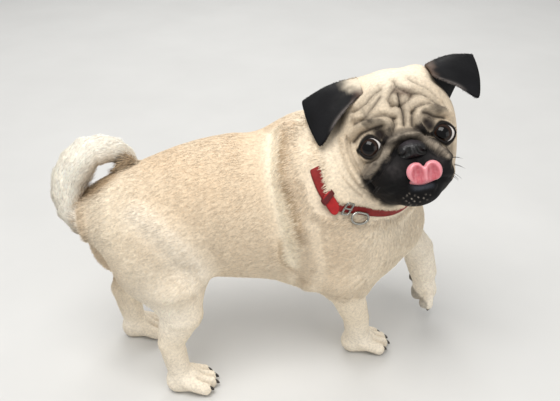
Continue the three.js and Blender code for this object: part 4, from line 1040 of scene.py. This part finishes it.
# Faces over a grid of points
def sheet_faces(ids):
    a, b, c, d = (v.ravel() for v in (ids[:-1, :-1], ids[1:, :-1], ids[1:, 1:], ids[:-1, 1:]))
    faces = np.concatenate([np.stack([a, b, c], 1), np.stack([a, c, d], 1)])
    return faces[(faces != np.roll(faces, 1, 1)).all(1)]


def wrapped(rows, cols, close_rows=True):
    """Triangles of a grid whose columns, and maybe rows, run round on themselves."""
    ids = np.arange(rows * cols).reshape(rows, cols)
    ids = np.concatenate([ids, ids[:, :1]], 1)
    if close_rows:
        ids = np.concatenate([ids, ids[:1]], 0)
    else:
        ids[0], ids[-1] = ids[0, 0], ids[-1, 0]
    return sheet_faces(ids)


# Eyes: a ball with a deep iris, a pupil and a thin rim of white
EYE_ROWS = 73
EYE_COLS = 96


def eye_piece(name, side, gaze, material):
    angle = np.repeat(np.linspace(0, 180, EYE_ROWS), EYE_COLS)
    turn = np.tile(np.linspace(0, 2 * np.pi, EYE_COLS, endpoint=False), EYE_ROWS)
    a = np.radians(angle)
    ball = np.stack([np.cos(a), np.sin(a) * np.cos(turn), np.sin(a) * np.sin(turn)], 1)
    cornea = EYE_RADIUS * (1 + 0.028 * fade(angle, 20, 50))
    fibre = 0.5 + 0.5 * np.sin(turn * 41 + 2.5 * np.sin(turn * 9))
    inside = fade(angle, 38, 46)[:, None]
    colour = paint(
        plain_colour(srgb(226, 220, 216), len(ball)),
        (srgb(150, 120, 110), 0.5 * smooth(angle, 66, 84)),
        (srgb(12, 9, 9), fade(angle, 46, 51)),
    )
    colour = colour * (1 - inside) + np.outer(0.6 + 0.5 * fibre, srgb(44, 28, 20)) * inside
    colour = blend_to(colour, srgb(4, 3, 4), fade(angle, 26, 31))
    gaze = unit(gaze) @ HEAD_AXES
    across = unit(np.cross([0, 0, 1], gaze))
    turned = (ball * cornea[:, None]) @ np.stack([gaze, across, np.cross(gaze, across)])
    obj = mesh_object("eyeball_" + name, turned + from_head(EYE_HEAD * [1, side, 1]),
                      wrapped(EYE_ROWS, EYE_COLS, False), colour)
    finish(obj, material, "eye_gloss", "eye_" + name)


wet = eye_material()
eye_piece("right", -1, [1, -0.27, -0.02], wet)
eye_piece("left", 1, [1, -0.15, 0.05], wet)


# Nose pad, and the tongue that licks it
def nostrils(q):
    return nearest(
        chain(q, [((61.5, 0.5 + side * 4.6, -8.5), 2.6), ((60.5, 0.5 + side * 5.6, -11.5), 2.5),
                  ((58, 0.5 + side * 9, -13.4), 1.7), ((54.5, 0.5 + side * 13, -12.4), 0.8)])
        for side in (-1, 1))


def nose_field(p):
    q = to_head(p)
    wings = ((egg(q, (52.5, y, -10), (7.5, 6.5, 7)), 3) for y in (-6, 7))
    d = joined(egg(q, (50, 0.5, -9.5), (10.5, 11, 9.5)), *wings)
    groove = bell(np.abs(q[1] - 0.5) + 0.2, 0.9) * smooth(-q[2], 6, 12)
    return (smax(d, -nostrils(q), 0.8) + 0.8 * groove) * HEAD_SIZE


def tongue_cups(q):
    return nearest(egg(q, middle, (6.9, 6.6, 13.4))
                   for middle in ((69.2, -0.6, -34.5), (69.6, 12.4, -35.5)))


def tongue_field(p):
    q = to_head(p)
    d = joined(
        egg(q, (52, 2.5, -37), (14, 11, 4.2)),
        (egg(q, (62, -1.5, -29), (4.6, 8.5, 8.6)), 3),
        (egg(q, (62.5, 13, -30), (4.6, 8.5, 9)), 3),
        (egg(q, (60, 4.5, -34.5), (4.2, 9, 4.5)), 3),
    )
    cleft = bell(q[1] - 5.8, 1.4) * smooth(q[2], -27, -22)
    return (smax(d, -tongue_cups(q), 2.0) + 1.6 * cleft) * HEAD_SIZE


def small_surface(field, middle, reach):
    """Points (3, n) and quads of a small field round a place in the head frame."""
    steps = int(math.ceil(2 * reach / SMALL_CELL)) + 1
    axes = [np.linspace(c - reach, c + reach, steps) for c in from_head(middle)[0]]
    points, quads = net(field, axes, 1)
    return settle(field, points.T, SMALL_CELL), quads


def nose_piece():
    p, quads = small_surface(nose_field, (52, 0, -9), 19)
    q = to_head(p)
    # painted highlight on the top of the pad and painted shade inside the nostrils
    colour = paint(plain_colour(srgb(15, 14, 16), len(q.T)),
                   (srgb(56, 52, 56), smooth(q[2], -7, -1)),
                   (srgb(3, 3, 3), fade(nostrils(q), 0.1, 1.1)))
    finish(mesh_object("nose_pad", p.T, quads, colour), nose_material(), "nose_skin", "nose")


def tongue_piece():
    p, quads = small_surface(tongue_field, (56, 5, -32), 25)
    q = to_head(p)
    streak = noise(q * [[1], [3.2], [0.35]], 3.2, 71)
    # painted shade in the cups of the curled tongue; darker towards the bottom
    hollow_shade = fade(tongue_cups(q), -0.2, 1.6)
    colour = paint(plain_colour(srgb(224, 146, 154), len(q.T)),
                   (srgb(184, 84, 94), hollow_shade * (0.85 + 0.35 * streak)),
                   (srgb(232, 168, 172), 0.6 * hollow_shade * bell(q[1] - 5.8, 1.2)),
                   (srgb(150, 58, 70), 0.7 * smooth(-q[2], 35, 42)))
    finish(mesh_object("tongue_curl", p.T, quads, colour), tongue_material(), "tongue_skin", "tongue")


nose_piece()
tongue_piece()


# Coat: short tapered tufts that lie along the body
NOSE_TIP = np.array([[60.0], [0.5], [-12.0]])


def chain_way(p, stations):
    """Direction along the nearest length of a chain, root to tip (3, n)."""
    best = np.full(p.shape[1], 1e9)
    way = np.zeros_like(p)
    for (a, ra), (b, rb) in zip(stations, stations[1:]):
        d = limb(p, a, b, ra, rb)
        closer = d < best
        best = np.where(closer, d, best)
        way[:, closer] = unit(np.subtract(b, a))[:, None]
    return way


def mixed(a, b, share):
    return a * (1 - share) + b * share


def coat_style(p, normal):
    """How the coat lies: direction, length, width, lift and density at places (3, n)."""
    d_body, d_head, d_tail = masses(p)
    headed = smooth(d_body - d_head, -12, 12)
    tailed = smooth(d_body - d_tail, -3, 8)
    q = to_head(p)
    low = fade(p[2], 95, 150)
    front = smooth(p[0], 60, 105)
    way = np.stack([-1 + 0.75 * front, 0 * front, -0.42 - 0.5 * low - 0.6 * front])
    legged = np.zeros(p.shape[1])
    for stations, paw in LEGS.values():
        w = smooth(14 - leg_field(p, stations, paw), 0, 12) * fade(p[2], 105, 150)
        way = mixed(way, chain_way(p, stations), w)
        legged = np.maximum(legged, w)
    way = mixed(way, chain_way(p, TAIL), tailed)
    away = HEAD_AXES.T @ unit_rows((q - NOSE_TIP).T).T
    way = mixed(way, away, headed)
    way = way + 0.22 * np.cross(normal.T, way.T).T * noise(p, 26, 21)
    face = headed * smooth(q[0], -10, 22)
    muzzle = face * smooth(-q[2], -8, 12)
    foot = np.maximum(fade(p[2], 18, 46), fade(paw_field(p, RAISED), 2, 12))
    length = (6.2 + 1.4 * front * (1 - headed) + low * (1 - legged)) * (1 - 0.3 * legged)
    for share, value in ((foot, 3.2), (headed, 4.6), (face, 2.5), (muzzle, 1.9), (tailed, 6.5)):
        length = mixed(length, value, share)
    width = 0.62 - 0.1 * headed - 0.14 * face - 0.16 * foot * (1 - headed)
    dense = 1 + 0.5 * headed + 1.7 * face + 0.9 * foot * (1 - headed) + 0.1 * tailed
    # beside the strap and in the tail's corner the coat stands up, at seat and belly a little
    beside = bell(np.abs(strap_gap(p)) - 6, 2.5) * smooth(p[0], 0, 20) * (1 - low)
    corner = np.maximum(bell(length_of(p - TAIL_CORNER), 15), fade(limb(p, *TAIL_FILL), 0, 9))
    fringe = np.maximum(smooth(-p[0], 150, 172) * (1 - tailed), smooth(-normal[2], 0.55, 0.95) * low)
    length = length + 5 * corner + 2.5 * fringe * (1 - foot) * (1 - headed)
    lift = 0.1 + 0.03 * headed * (1 - face) + 0.1 * tailed + 0.16 * beside
    return way, length, width, lift + 0.5 * corner + 0.06 * fringe, dense


# Blades of a tuft: seven points by row, six triangles, their painted shade (darker at the root) and
# their place in the map
BLADE_ROWS = ((0.0, 1.0, 0.16), (0.5, 0.86, 0.2))
BLADE_FACES = np.array([(0, 1, 4), (0, 4, 3), (1, 2, 5), (1, 5, 4), (3, 4, 6), (4, 5, 6)])
BLADE_SHADE = np.array([0.8, 0.84, 0.8, 0.97, 1.0, 0.97, 1.07])
BLADE_MAP = np.array([(-1, -1), (0, -1), (1, -1), (-1, 0), (0, 0), (1, 0), (0, 1)]) * 0.0014
ROOT_DEPTH = 0.35


def box_unwrap(root, normal):
    """Places on the piece's own unwrap: one chart for each of six facings, side by side."""
    axis = np.abs(normal).argmax(1)
    chart = axis * 2 + (np.take_along_axis(normal, axis[:, None], 1)[:, 0] > 0)
    uv = np.zeros((len(root), 2))
    for c in np.unique(chart):
        pick = chart == c
        flat = root[pick][:, [a for a in range(3) if a != c // 2]]
        lo, hi = flat.min(0), flat.max(0)
        local = (flat - lo) / np.maximum(hi - lo, 1e-6)
        uv[pick] = (np.array([c % 3, c // 3]) + 0.03 + 0.94 * local) / [3, 2]
    return uv


def coat_piece(name, tufts, material, slot):
    """Each tuft is a narrow blade with a raised middle, bent back towards the skin."""
    root, normal, way, length, width, lift, colour = tufts
    side = unit_rows(np.cross(normal, way)) * width[:, None] / 2
    along = way * (length * np.cos(lift))[:, None]
    rise = normal * (length * np.sin(lift))[:, None]
    foot = root - normal * ROOT_DEPTH
    rows = []
    for u, w, ridge in BLADE_ROWS:
        middle = foot + along * u + rise * (1.7 * u - 0.9 * u * u)
        rows += [middle - side * w, middle + normal * width[:, None] * ridge, middle + side * w]
    points = np.stack(rows + [foot + along + rise * 0.8], 1).reshape(-1, 3)
    points[:, 2] = np.maximum(points[:, 2], 0.3)
    faces = (np.arange(len(root))[:, None, None] * 7 + BLADE_FACES).reshape(-1, 3)
    tint = (colour[:, None, :] * BLADE_SHADE[None, :, None]).reshape(-1, 3)
    obj = mesh_object("coat_" + name, points, faces, tint)
    uv = (box_unwrap(root, normal)[:, None, :] + BLADE_MAP).reshape(-1, 2)[faces.ravel()]
    obj.data.uv_layers.new(name="OFBake").data.foreach_set("uv", uv.astype(np.float32).ravel())
    finish(obj, material, slot)


def region_of(p):
    """Which piece of coat a root belongs to."""
    d_body, _, d_tail = masses(p)
    part = np.full(p.shape[1], "rump", dtype="U12")
    for name, start in (("loin", -95), ("ribs", -25), ("breast", 40)):
        part[p[0] >= start] = name
    part[(0.66 * p[0] - 0.33 * p[1] + 0.67 * p[2] > 160) & (p[0] > 0)] = "neck"
    names = np.char.add(part, np.where(p[1] < 0, "_right", "_left"))
    for leg, (stations, paw) in LEGS.items():
        names[(leg_field(p, stations, paw) < 9) & (p[2] < 128)] = leg
    names[d_tail < d_body] = "tail"
    head_side = np.where(to_head(p)[1] < -2, "head_right", "head_left")
    return np.where(along_collar(p) > 0, head_side, names)


def scatter(points, faces, weight, count):
    """Seeded places over triangles by area and weight; gives each place its share of a value."""
    a, b, c = (points[faces[:, k]] for k in range(3))
    share = np.cumsum(np.linalg.norm(np.cross(b - a, c - a), axis=1) / 2 * weight)
    pick = np.minimum(np.searchsorted(share, rng.rand(count) * share[-1]), len(faces) - 1)
    u, v = rng.rand(count), rng.rand(count)
    over = u + v > 1
    u[over], v[over] = 1 - u[over], 1 - v[over]
    corner, part = faces[pick], np.stack([1 - u - v, u, v], 1)[:, :, None]
    return lambda values: (values[corner] * part).sum(1)


def combed(way, normal, loose):
    """Directions laid along the skin, each turned a little."""
    way = way + loose * np.linalg.norm(way, axis=1)[:, None] * rng.randn(*way.shape)
    return unit_rows(way - normal * (way * normal).sum(1)[:, None])


def bare(p):
    """Where no tuft grows: eyes, nose, tongue, mouth, under the strap and on the pads."""
    q = to_head(p)
    out = (np.minimum(lid_edge(q, -1), lid_edge(q, 1)) < 2.6) & (q[0] > 18)
    out |= (nose_field(p) < 1.2) | (tongue_field(p) < 1.5)
    out |= (mouth_gap(q) < 1.6) & (q[0] > 20)
    neck_zone = (p[0] > 0) & (p[2] > 150)
    out |= (np.abs(strap_gap(p)) < 4.6) & neck_zone & (nape_cover(p) < 0.5)
    return out | (pad_field(p) < 1.2) | (p[2] < 1.6)


def dress_skin(material):
    tris = np.concatenate([skin_quads[:, [0, 1, 2]], skin_quads[:, [0, 2, 3]]])
    normals = vertex_normals(skin_points, skin_quads)
    dense = coat_style(skin_points[tris].mean(1).T, normals[tris].mean(1).T)[-1]
    at_place = scatter(skin_points, tris, dense, TUFTS)
    place, normal = at_place(skin_points), unit_rows(at_place(normals))
    keep = ~bare(place.T)
    place, normal = place[keep], normal[keep]
    p, n = place.T, len(place)
    way, length, width, lift, _ = coat_style(p, normal.T)
    way = combed(way.T, normal, 0.16)
    vary = rng.rand(3, n)
    streak = 1 + 0.055 * rng.randn(n) + 0.03 * noise(p, 9, 31)
    sable = smooth(p[2], 120, 190) * (along_collar(p) < 0)
    streak = streak - 0.17 * (rng.rand(n) < 0.22) * sable
    colour = np.clip(coat_colour(p) * np.clip(streak, 0.75, 1.2)[:, None], 0, 1)
    tufts = (place, normal, way, length * (0.72 + 0.56 * vary[0]), width * (0.75 + 0.5 * vary[1]),
             lift * (0.45 + 1.1 * vary[2]), colour)
    names = region_of(p)
    for name in sorted(set(names)):
        part = np.nonzero(names == name)[0][:PIECE_LIMIT]
        coat_piece(name, [values[part] for values in tufts], material,
                   "cream" if name == "tail" else "fawn")


dress_skin(coat_material("short_coat", 0.08, 0.62))


# Ears: a thin sheet that rises from the skull, folds over and hangs down in a point
EARS = {
    # inner and outer end of base, crest and lower edge, and how far that edge is hollowed
    "right": (((24, -27, 49), (-16, -53, 36)), ((15, -29, 66), (2, -83.5, 57.5)),
              ((30, -29, 50), (25, -76.5, 5.5)), 5.5),
    "left": (((18, 34, 54), (-14, 55, 28)), ((13, 35, 66), (2, 83.5, 71)),
             ((27, 37, 54), (22, 77.5, 22.5)), 1.5),
}
EAR_THICKNESS = 3.2
EAR_ROWS = 49
EAR_COLS = 33
EAR_FOLD = 0.34


def ear_sheet(ear, side):
    """Middle of the sheet in the head frame, (rows, cols, 3), from the base round to the edge."""
    s = np.linspace(0, 1, EAR_ROWS)[:, None, None]
    t = (0.5 - 0.5 * np.cos(np.pi * np.linspace(0, 1, EAR_COLS)))[None, :, None]
    arch = np.sin(np.pi * t)
    base, crest, end = (mixed(*np.array(ends, float), t) for ends in ear[:3])
    crest = crest + UPWARD * 4 * arch
    round_tip = 1 - np.sqrt(1 - np.clip((t - 0.8) / 0.2, 0, 1) ** 2 * 0.98)
    end = end + UPWARD * ear[3] * arch
    end = end + (crest - end) * 0.13 * round_tip
    k = np.clip((s - EAR_FOLD) / (1 - EAR_FOLD), 0, 1)
    bend = np.sin(np.pi * k)
    flap = crest + (end - crest) * k + np.array([7, 0, 1]) * bend * (0.4 + 0.6 * arch)
    flap = flap + LEFTWARD * 2.2 * side * bend * t ** 4 + FORWARD * 2.0 * bell(1 - k, 0.12) * arch
    sheet = np.where(s < EAR_FOLD, base + (crest - base) * np.clip(s / EAR_FOLD, 0, 1), flap)
    for _ in range(10):
        sheet[1:-1] += 0.25 * (sheet[:-2] + sheet[2:] - 2 * sheet[1:-1])
    ripple = noise(sheet.reshape(-1, 3).T, 15, 51).reshape(EAR_ROWS, EAR_COLS, 1)
    return sheet + np.array([0.8, 0, 0.3]) * ripple * np.clip(k * 3, 0, 1)


def ear_colour(q, side, s):
    """Black velvet coat, with the cream of the head running on to the near ear's root, and a painted
    highlight along the lower edge.
    """
    rough = noise(q, 4.5, 14)
    colour = blend_to(plain_colour(srgb(9, 9, 11), q.shape[1]), srgb(20, 20, 23),
                      0.5 + 0.5 * noise(q, 12, 15))
    if side < 0:
        root = smooth(q[1] + 2 * rough, -50, -35) * smooth(q[2] + 2 * rough, 49, 60)
        dusk = smooth(q[1] + 3 * rough, -42, -34) * fade(q[2], 52, 58)
        colour = paint(colour, (srgb(92, 74, 66), 0.8 * dusk), (CREAM * 0.8, root))
    else:
        colour = blend_to(colour, srgb(104, 88, 78), 0.75 * fade(q[1] + 3 * rough, 37, 45))
    # painted highlight along the flap's lower edge
    line = bell(1 - s, 0.035) * smooth(np.abs(q[1]), 34, 42) * fade(np.abs(q[1]), 58, 68)
    return blend_to(colour, srgb(150, 142, 138), 0.7 * line)


def ear_piece(name, side, material):
    """The ear's sheet with a thickness, and its coat."""
    sheet = ear_sheet(EARS[name], side)
    along = np.gradient(sheet, axis=0)
    out = unit_rows(np.cross(along, np.gradient(sheet, axis=1)) * -side)
    s = np.linspace(0, 1, EAR_ROWS)[:, None]
    t = np.linspace(0, 1, EAR_COLS)[None, :]
    thin_sides = np.sqrt(np.clip(1 - np.abs(2 * t - 1) ** 9, 0, 1))
    half = EAR_THICKNESS / 2 * thin_sides * np.sqrt(np.clip(1 - s ** 18, 0, 1))
    q = np.stack([sheet + out * half[:, :, None], sheet - out * half[:, :, None]]).reshape(-1, 3)
    ids = np.arange(EAR_ROWS * EAR_COLS).reshape(EAR_ROWS, EAR_COLS)
    rear_ids = np.where(half < 1e-6, ids, ids + ids.size)
    faces = np.concatenate([sheet_faces(ids), sheet_faces(rear_ids)[:, ::-1]])[:, ::-side]
    down = np.tile(np.broadcast_to(s, ids.shape).ravel(), 2)
    points = from_head(q)
    finish(mesh_object("earflap_" + name, points, faces, ear_colour(q.T, side, down)), material,
           "black_coat", "ear_" + name)
    at_place = scatter(points, faces, 1, EAR_TUFTS)
    root = at_place(points)
    keep = dog_field(root.T) > 0.5
    fields = (points, vertex_normals(points, faces),
              np.tile(along.reshape(-1, 3), (2, 1)) @ HEAD_AXES, down[:, None])
    root, normal, lie, where = (at_place(values)[keep] for values in fields)
    normal = unit_rows(normal)
    lie = combed(unit_rows(lie), normal, 0.14)
    vary = rng.rand(3, len(root))
    tint = ear_colour(to_head(root.T), side, where[:, 0])
    tint = tint * (1 + 0.12 * rng.randn(len(root)))[:, None].clip(0.7, 1.4)
    tufts = (root, normal, lie, 2.0 + 1.2 * vary[0], 0.45 + 0.25 * vary[1],
             0.03 + 0.07 * vary[2], tint)
    coat_piece("ear_" + name, tufts, material, "black_coat")


velvet = coat_material("ear_velvet", 0.1, 0.55)
ear_piece("right", -1, velvet)
ear_piece("left", 1, velvet)


# Claws, whiskers and metal: round bars along a line of points
def tube(path, radii, sides, ring=False, wide=1.0, guide=(0, 0, 1)):
    """Points and triangles of a bar along points (n, 3), closed at its ends or on itself."""
    path = np.asarray(path, float)
    n = len(path)
    if ring:
        ahead = np.roll(path, -1, 0) - np.roll(path, 1, 0)
    else:
        ahead = np.gradient(path, axis=0)
    ahead = unit_rows(ahead)
    side = unit_rows(np.cross(ahead, guide))
    up = np.cross(side, ahead)
    turn = 2 * np.pi * np.arange(sides)[:, None] / sides
    section = np.cos(turn) * side[:, None] * wide + np.sin(turn) * up[:, None]
    points = path[:, None] + np.broadcast_to(radii, (n,))[:, None, None] * section
    if ring:
        return points.reshape(-1, 3), wrapped(n, sides)
    caps = [np.repeat(path[k][None, None], sides, 1) for k in (0, -1)]
    points = np.concatenate([caps[0], points, caps[1]])
    return points.reshape(-1, 3), wrapped(n + 2, sides, False)[:, ::-1]


def outward(p):
    g = gradient(dog_field, p, 1.0)
    return g / np.maximum(length_of(g), 1e-9)


def whiskers(material):
    """A few dark whiskers on each side of the muzzle and over the cheeks."""
    u = np.linspace(0, 1, 10)[:, None]
    points, faces = [], []
    for side in (-1, 1):
        for row in range(7):
            back, drop = row % 4, row // 2
            root = from_head([44 - 3.0 * back, side * (27 + 2.2 * back), -24 - 4.2 * drop])
            root = settle(head_field, root.T, 12, 3)
            out = outward(root).T[0]
            aim = unit(out + HEAD_L * side * 0.8 - HEAD_U * (0.2 + 0.1 * row))
            bend = unit(aim - HEAD_F * 0.7 - HEAD_U * 0.6)
            reach = 8 + 1.6 * (row % 3)
            path = root.T - out + aim * reach * u * (1 - 0.4 * u) + bend * reach * 0.4 * u * u
            hair, tris = tube(path, 0.24 * (1 - 0.75 * u[:, 0]), 6)
            faces.append(tris + len(hair) * len(points))
            points.append(hair)
    points = np.concatenate(points)
    colour = plain_colour(srgb(20, 18, 18), len(points))
    finish(mesh_object("whiskers", points, np.concatenate(faces), colour), material, "claw_horn")


def claw_piece(name, root, forward, up, material):
    aim = unit(forward - 0.55 * up)
    a, b = root - aim * 3.0, root + aim * 3.6
    c = root + aim * 2.6 + unit(aim + [0, 0, -0.5]) * 4.0
    u = np.linspace(0, 1, 14)[:, None]
    path = a * (1 - u) ** 2 + b * 2 * u * (1 - u) + c * u * u
    radii = 2.25 * (1 - u[:, 0] ** 2.2) ** 0.8 + 0.15
    points, faces = tube(path, radii, 14, wide=0.8, guide=up)
    points[:, 2] = np.maximum(points[:, 2], 0.25)
    colour = blend_to(plain_colour(srgb(30, 26, 25), len(points)), srgb(74, 64, 58),
                      0.4 + 0.5 * noise(points.T, 2.5, 61))
    finish(mesh_object(name, points, faces, colour), material, "claw_horn", name)


horn = horn_material()
for paw_name, paw in PAWS.items():
    _, paw_forward, _, paw_up, _, _ = paw
    for number, (_, tip) in enumerate(paw_parts(*paw)[1], 1):
        claw_piece("%s_%d" % (paw_name.replace("paw", "claw"), number),
                   tip + paw_forward * 4 + paw_up * 1.5, paw_forward, paw_up, horn)
whiskers(horn)


# Collar, laid out by angle round the neck, distance across the strap and height over the coat
def collar_line(angle):
    """Where rays from the neck's middle meet the dog, found by halving."""
    way = COLLAR_BACK[:, None] * np.cos(angle) + COLLAR_SIDE[:, None] * np.sin(angle)
    lo, hi = np.full(angle.shape, 10.0), np.full(angle.shape, 130.0)
    for _ in range(14):
        middle = (lo + hi) / 2
        inside = dog_field(COLLAR_CENTRE[:, None] + way * middle) < 0
        lo, hi = np.where(inside, middle, lo), np.where(inside, hi, middle)
    return COLLAR_CENTRE[:, None] + way * lo


def on_collar(angle, across, height):
    """Dog-frame points (n, 3)."""
    angle, across, height = (np.ravel(v) for v in np.broadcast_arrays(angle, across, height))
    line = collar_line(angle)
    ahead = collar_line(angle + 0.03) - collar_line(angle - 0.03)
    way = unit_rows(np.cross(outward(line).T, ahead.T)).T
    way *= np.sign(COLLAR_NORMAL @ way)
    p = settle(dog_field, line + way * (across + collar_sag(angle)), 12, 3)
    return (p + outward(p) * height).T


def box_round(n, corner):
    """A round-cornered square path, as two arrays from -1 to 1."""
    a = 2 * np.pi * np.arange(n) / n
    c, s = np.cos(a), np.sin(a)
    return np.sign(c) * np.abs(c) ** corner, np.sign(s) * np.abs(s) ** corner


def strap_piece(name, node, angles, half, low, high, closed, lean, tones, material):
    """A length of strap, its edges darker and its underside darkened by painted shade."""
    c, s = box_round(28, 0.4)
    run = np.linspace(-1, 1, len(angles))
    ends = np.ones(len(angles)) if closed else np.sqrt(np.clip(1 - np.abs(run) ** 14, 0, 1))
    thick = (high - low) / 2 * s + 0.25 * (1 - c * c) * (s > 0)
    across = (half * ends)[:, None] * c + np.reshape(lean, (-1, 1))
    points = on_collar(angles[:, None], across, (low + high) / 2 + ends[:, None] * thick)
    edge, top = np.tile(np.abs(c), len(angles)), np.tile(s, len(angles))
    main, dark = tones
    # darker edges, and painted shade on the underside
    colour = paint(plain_colour(main, len(points)), (dark, 0.75 * smooth(edge, 0.82, 0.99)),
                   (dark, 0.5 * (top < -0.3)))
    finish(mesh_object(name, points, wrapped(len(angles), 28, closed), colour), material,
           "red_strap", node)


def collar_pieces():
    leather = leather_material()
    steel = steel_material()
    half = COLLAR_WIDTH / 2 - 0.4
    strap_piece("strap", "collar_strap", 2 * np.pi * np.arange(180) / 180, half, -2.0, 0.6, True, 0,
                (srgb(134, 34, 32), srgb(70, 20, 20)), leather)
    t = np.linspace(0, 1, 40)
    tab_half = (half + 0.5) * np.sqrt(1 - 0.93 * np.clip((t - 0.6) / 0.4, 0, 1) ** 2.4)
    # the tab's brighter red is a painted sheen on the same leather
    strap_piece("strap_tab", "strap_end", 0.8 + 0.26 * t, tab_half, 0.9, 2.9, False, -6 * t * t,
                (srgb(172, 34, 36), srgb(118, 26, 28)), leather)
    # keeper: a narrow loop round strap and tab
    c, s = (v[:, None] for v in box_round(36, 0.4))
    ring_c, ring_s = box_round(10, 0.5)
    points = on_collar(0.845 + 0.032 * ring_c, c * (half + 1.6 + 0.55 * ring_s),
                       1.6 + s * (2.3 + 0.55 * ring_s))
    finish(mesh_object("keeper_loop", points, wrapped(36, 10),
                       plain_colour(srgb(92, 28, 29), len(points))),
           leather, "red_strap", "collar_keeper")
    # buckle: a round-cornered frame with its prong
    c, s = (v[:, None] for v in box_round(56, 0.35))
    round_c, round_s = box_round(12, 1)
    points = on_collar(1.145 + c * (0.042 + 0.9 / 64 * round_c), s * (6.5 + 0.9 * round_c),
                       2.05 + 0.9 * round_s)
    prong, prong_faces = tube(on_collar(np.linspace(1.095, 1.195, 14), 0, 2.9), 0.85, 10)
    faces = np.concatenate([wrapped(56, 12), prong_faces + len(points)])
    finish(mesh_object("buckle_frame", np.concatenate([points, prong]), faces), steel, "steel",
           "collar_buckle")
    # ring for a lead, lying on the chest
    f = 2 * np.pi * np.arange(48) / 48
    path = on_collar(1.35 + 6.8 * np.cos(f) / 62, np.minimum(-7.4 + 6.8 * np.sin(f), -1.6), 2.9)
    points, faces = tube(path, 1.15, 12, ring=True, guide=outward(path.T).T)
    finish(mesh_object("lead_ring", points, faces), steel, "steel", "collar_ring")


collar_pieces()

# Floor, light and camera
corners = [(-6, -6, 0), (6, -6, 0), (6, 6, 0), (-6, 6, 0)]
ground = bpy.data.meshes.new("floor")
ground.from_pydata(corners, [], [(0, 1, 2, 3)])
ground.materials.append(floor_material())
link("floor", ground)

# name, place, height aimed at, size, power, colour
for name, place, aim, size, power, colour in (
    ("key", (-0.35, -0.45, 1.7), 0.18, (1.1, 0.9), 24, (1.0, 0.985, 0.96)),
    ("fill", (1.2, -1.4, 0.7), 0.18, (1.2, 1.2), 6, (1.0, 0.985, 0.965)),
    ("rim", (0.2, 1.5, 1.3), 0.2, (1.4, 0.8), 12, (1.0, 0.99, 0.97)),
):
    light = bpy.data.lights.new(name, "AREA")
    light.shape = "RECTANGLE"
    light.size, light.size_y = size
    light.energy = power
    light.color = colour
    lamp = link(name, light)
    lamp.location = place
    lamp.rotation_euler = (Vector((0, 0, aim)) - lamp.location).to_track_quat("-Z", "Y").to_euler()

world = bpy.data.worlds.new("studio")
world.use_nodes = True
background = world.node_tree.nodes["Background"].inputs
background["Color"].default_value = (0.98, 0.98, 0.975, 1)
background["Strength"].default_value = 0.48
bpy.context.scene.world = world
bpy.context.scene.view_settings.view_transform = "Standard"

CAMERA_TURN = math.radians(-8)
CAMERA_RISE = math.radians(30)
CAMERA_FAR = 680
CAMERA_AIM = np.array([0, -20, 195])
PICTURE_WIDTH = 560
FOCAL_PIXELS = 722
right = np.array([math.cos(CAMERA_TURN), math.sin(CAMERA_TURN), 0])
level = np.array([right[1], -right[0], 0])
back = level * math.cos(CAMERA_RISE) + UPWARD * math.sin(CAMERA_RISE)
lens = bpy.data.cameras.new("view")
lens.sensor_width = 36
lens.lens = FOCAL_PIXELS / PICTURE_WIDTH * lens.sensor_width
camera = link("view", lens)
turn = Matrix([right, np.cross(back, right), back]).transposed().to_4x4()
camera.matrix_world = Matrix.Translation(to_row(CAMERA_AIM + back * CAMERA_FAR)) @ turn
bpy.context.scene.camera = camera

bpy.context.view_layer.update()
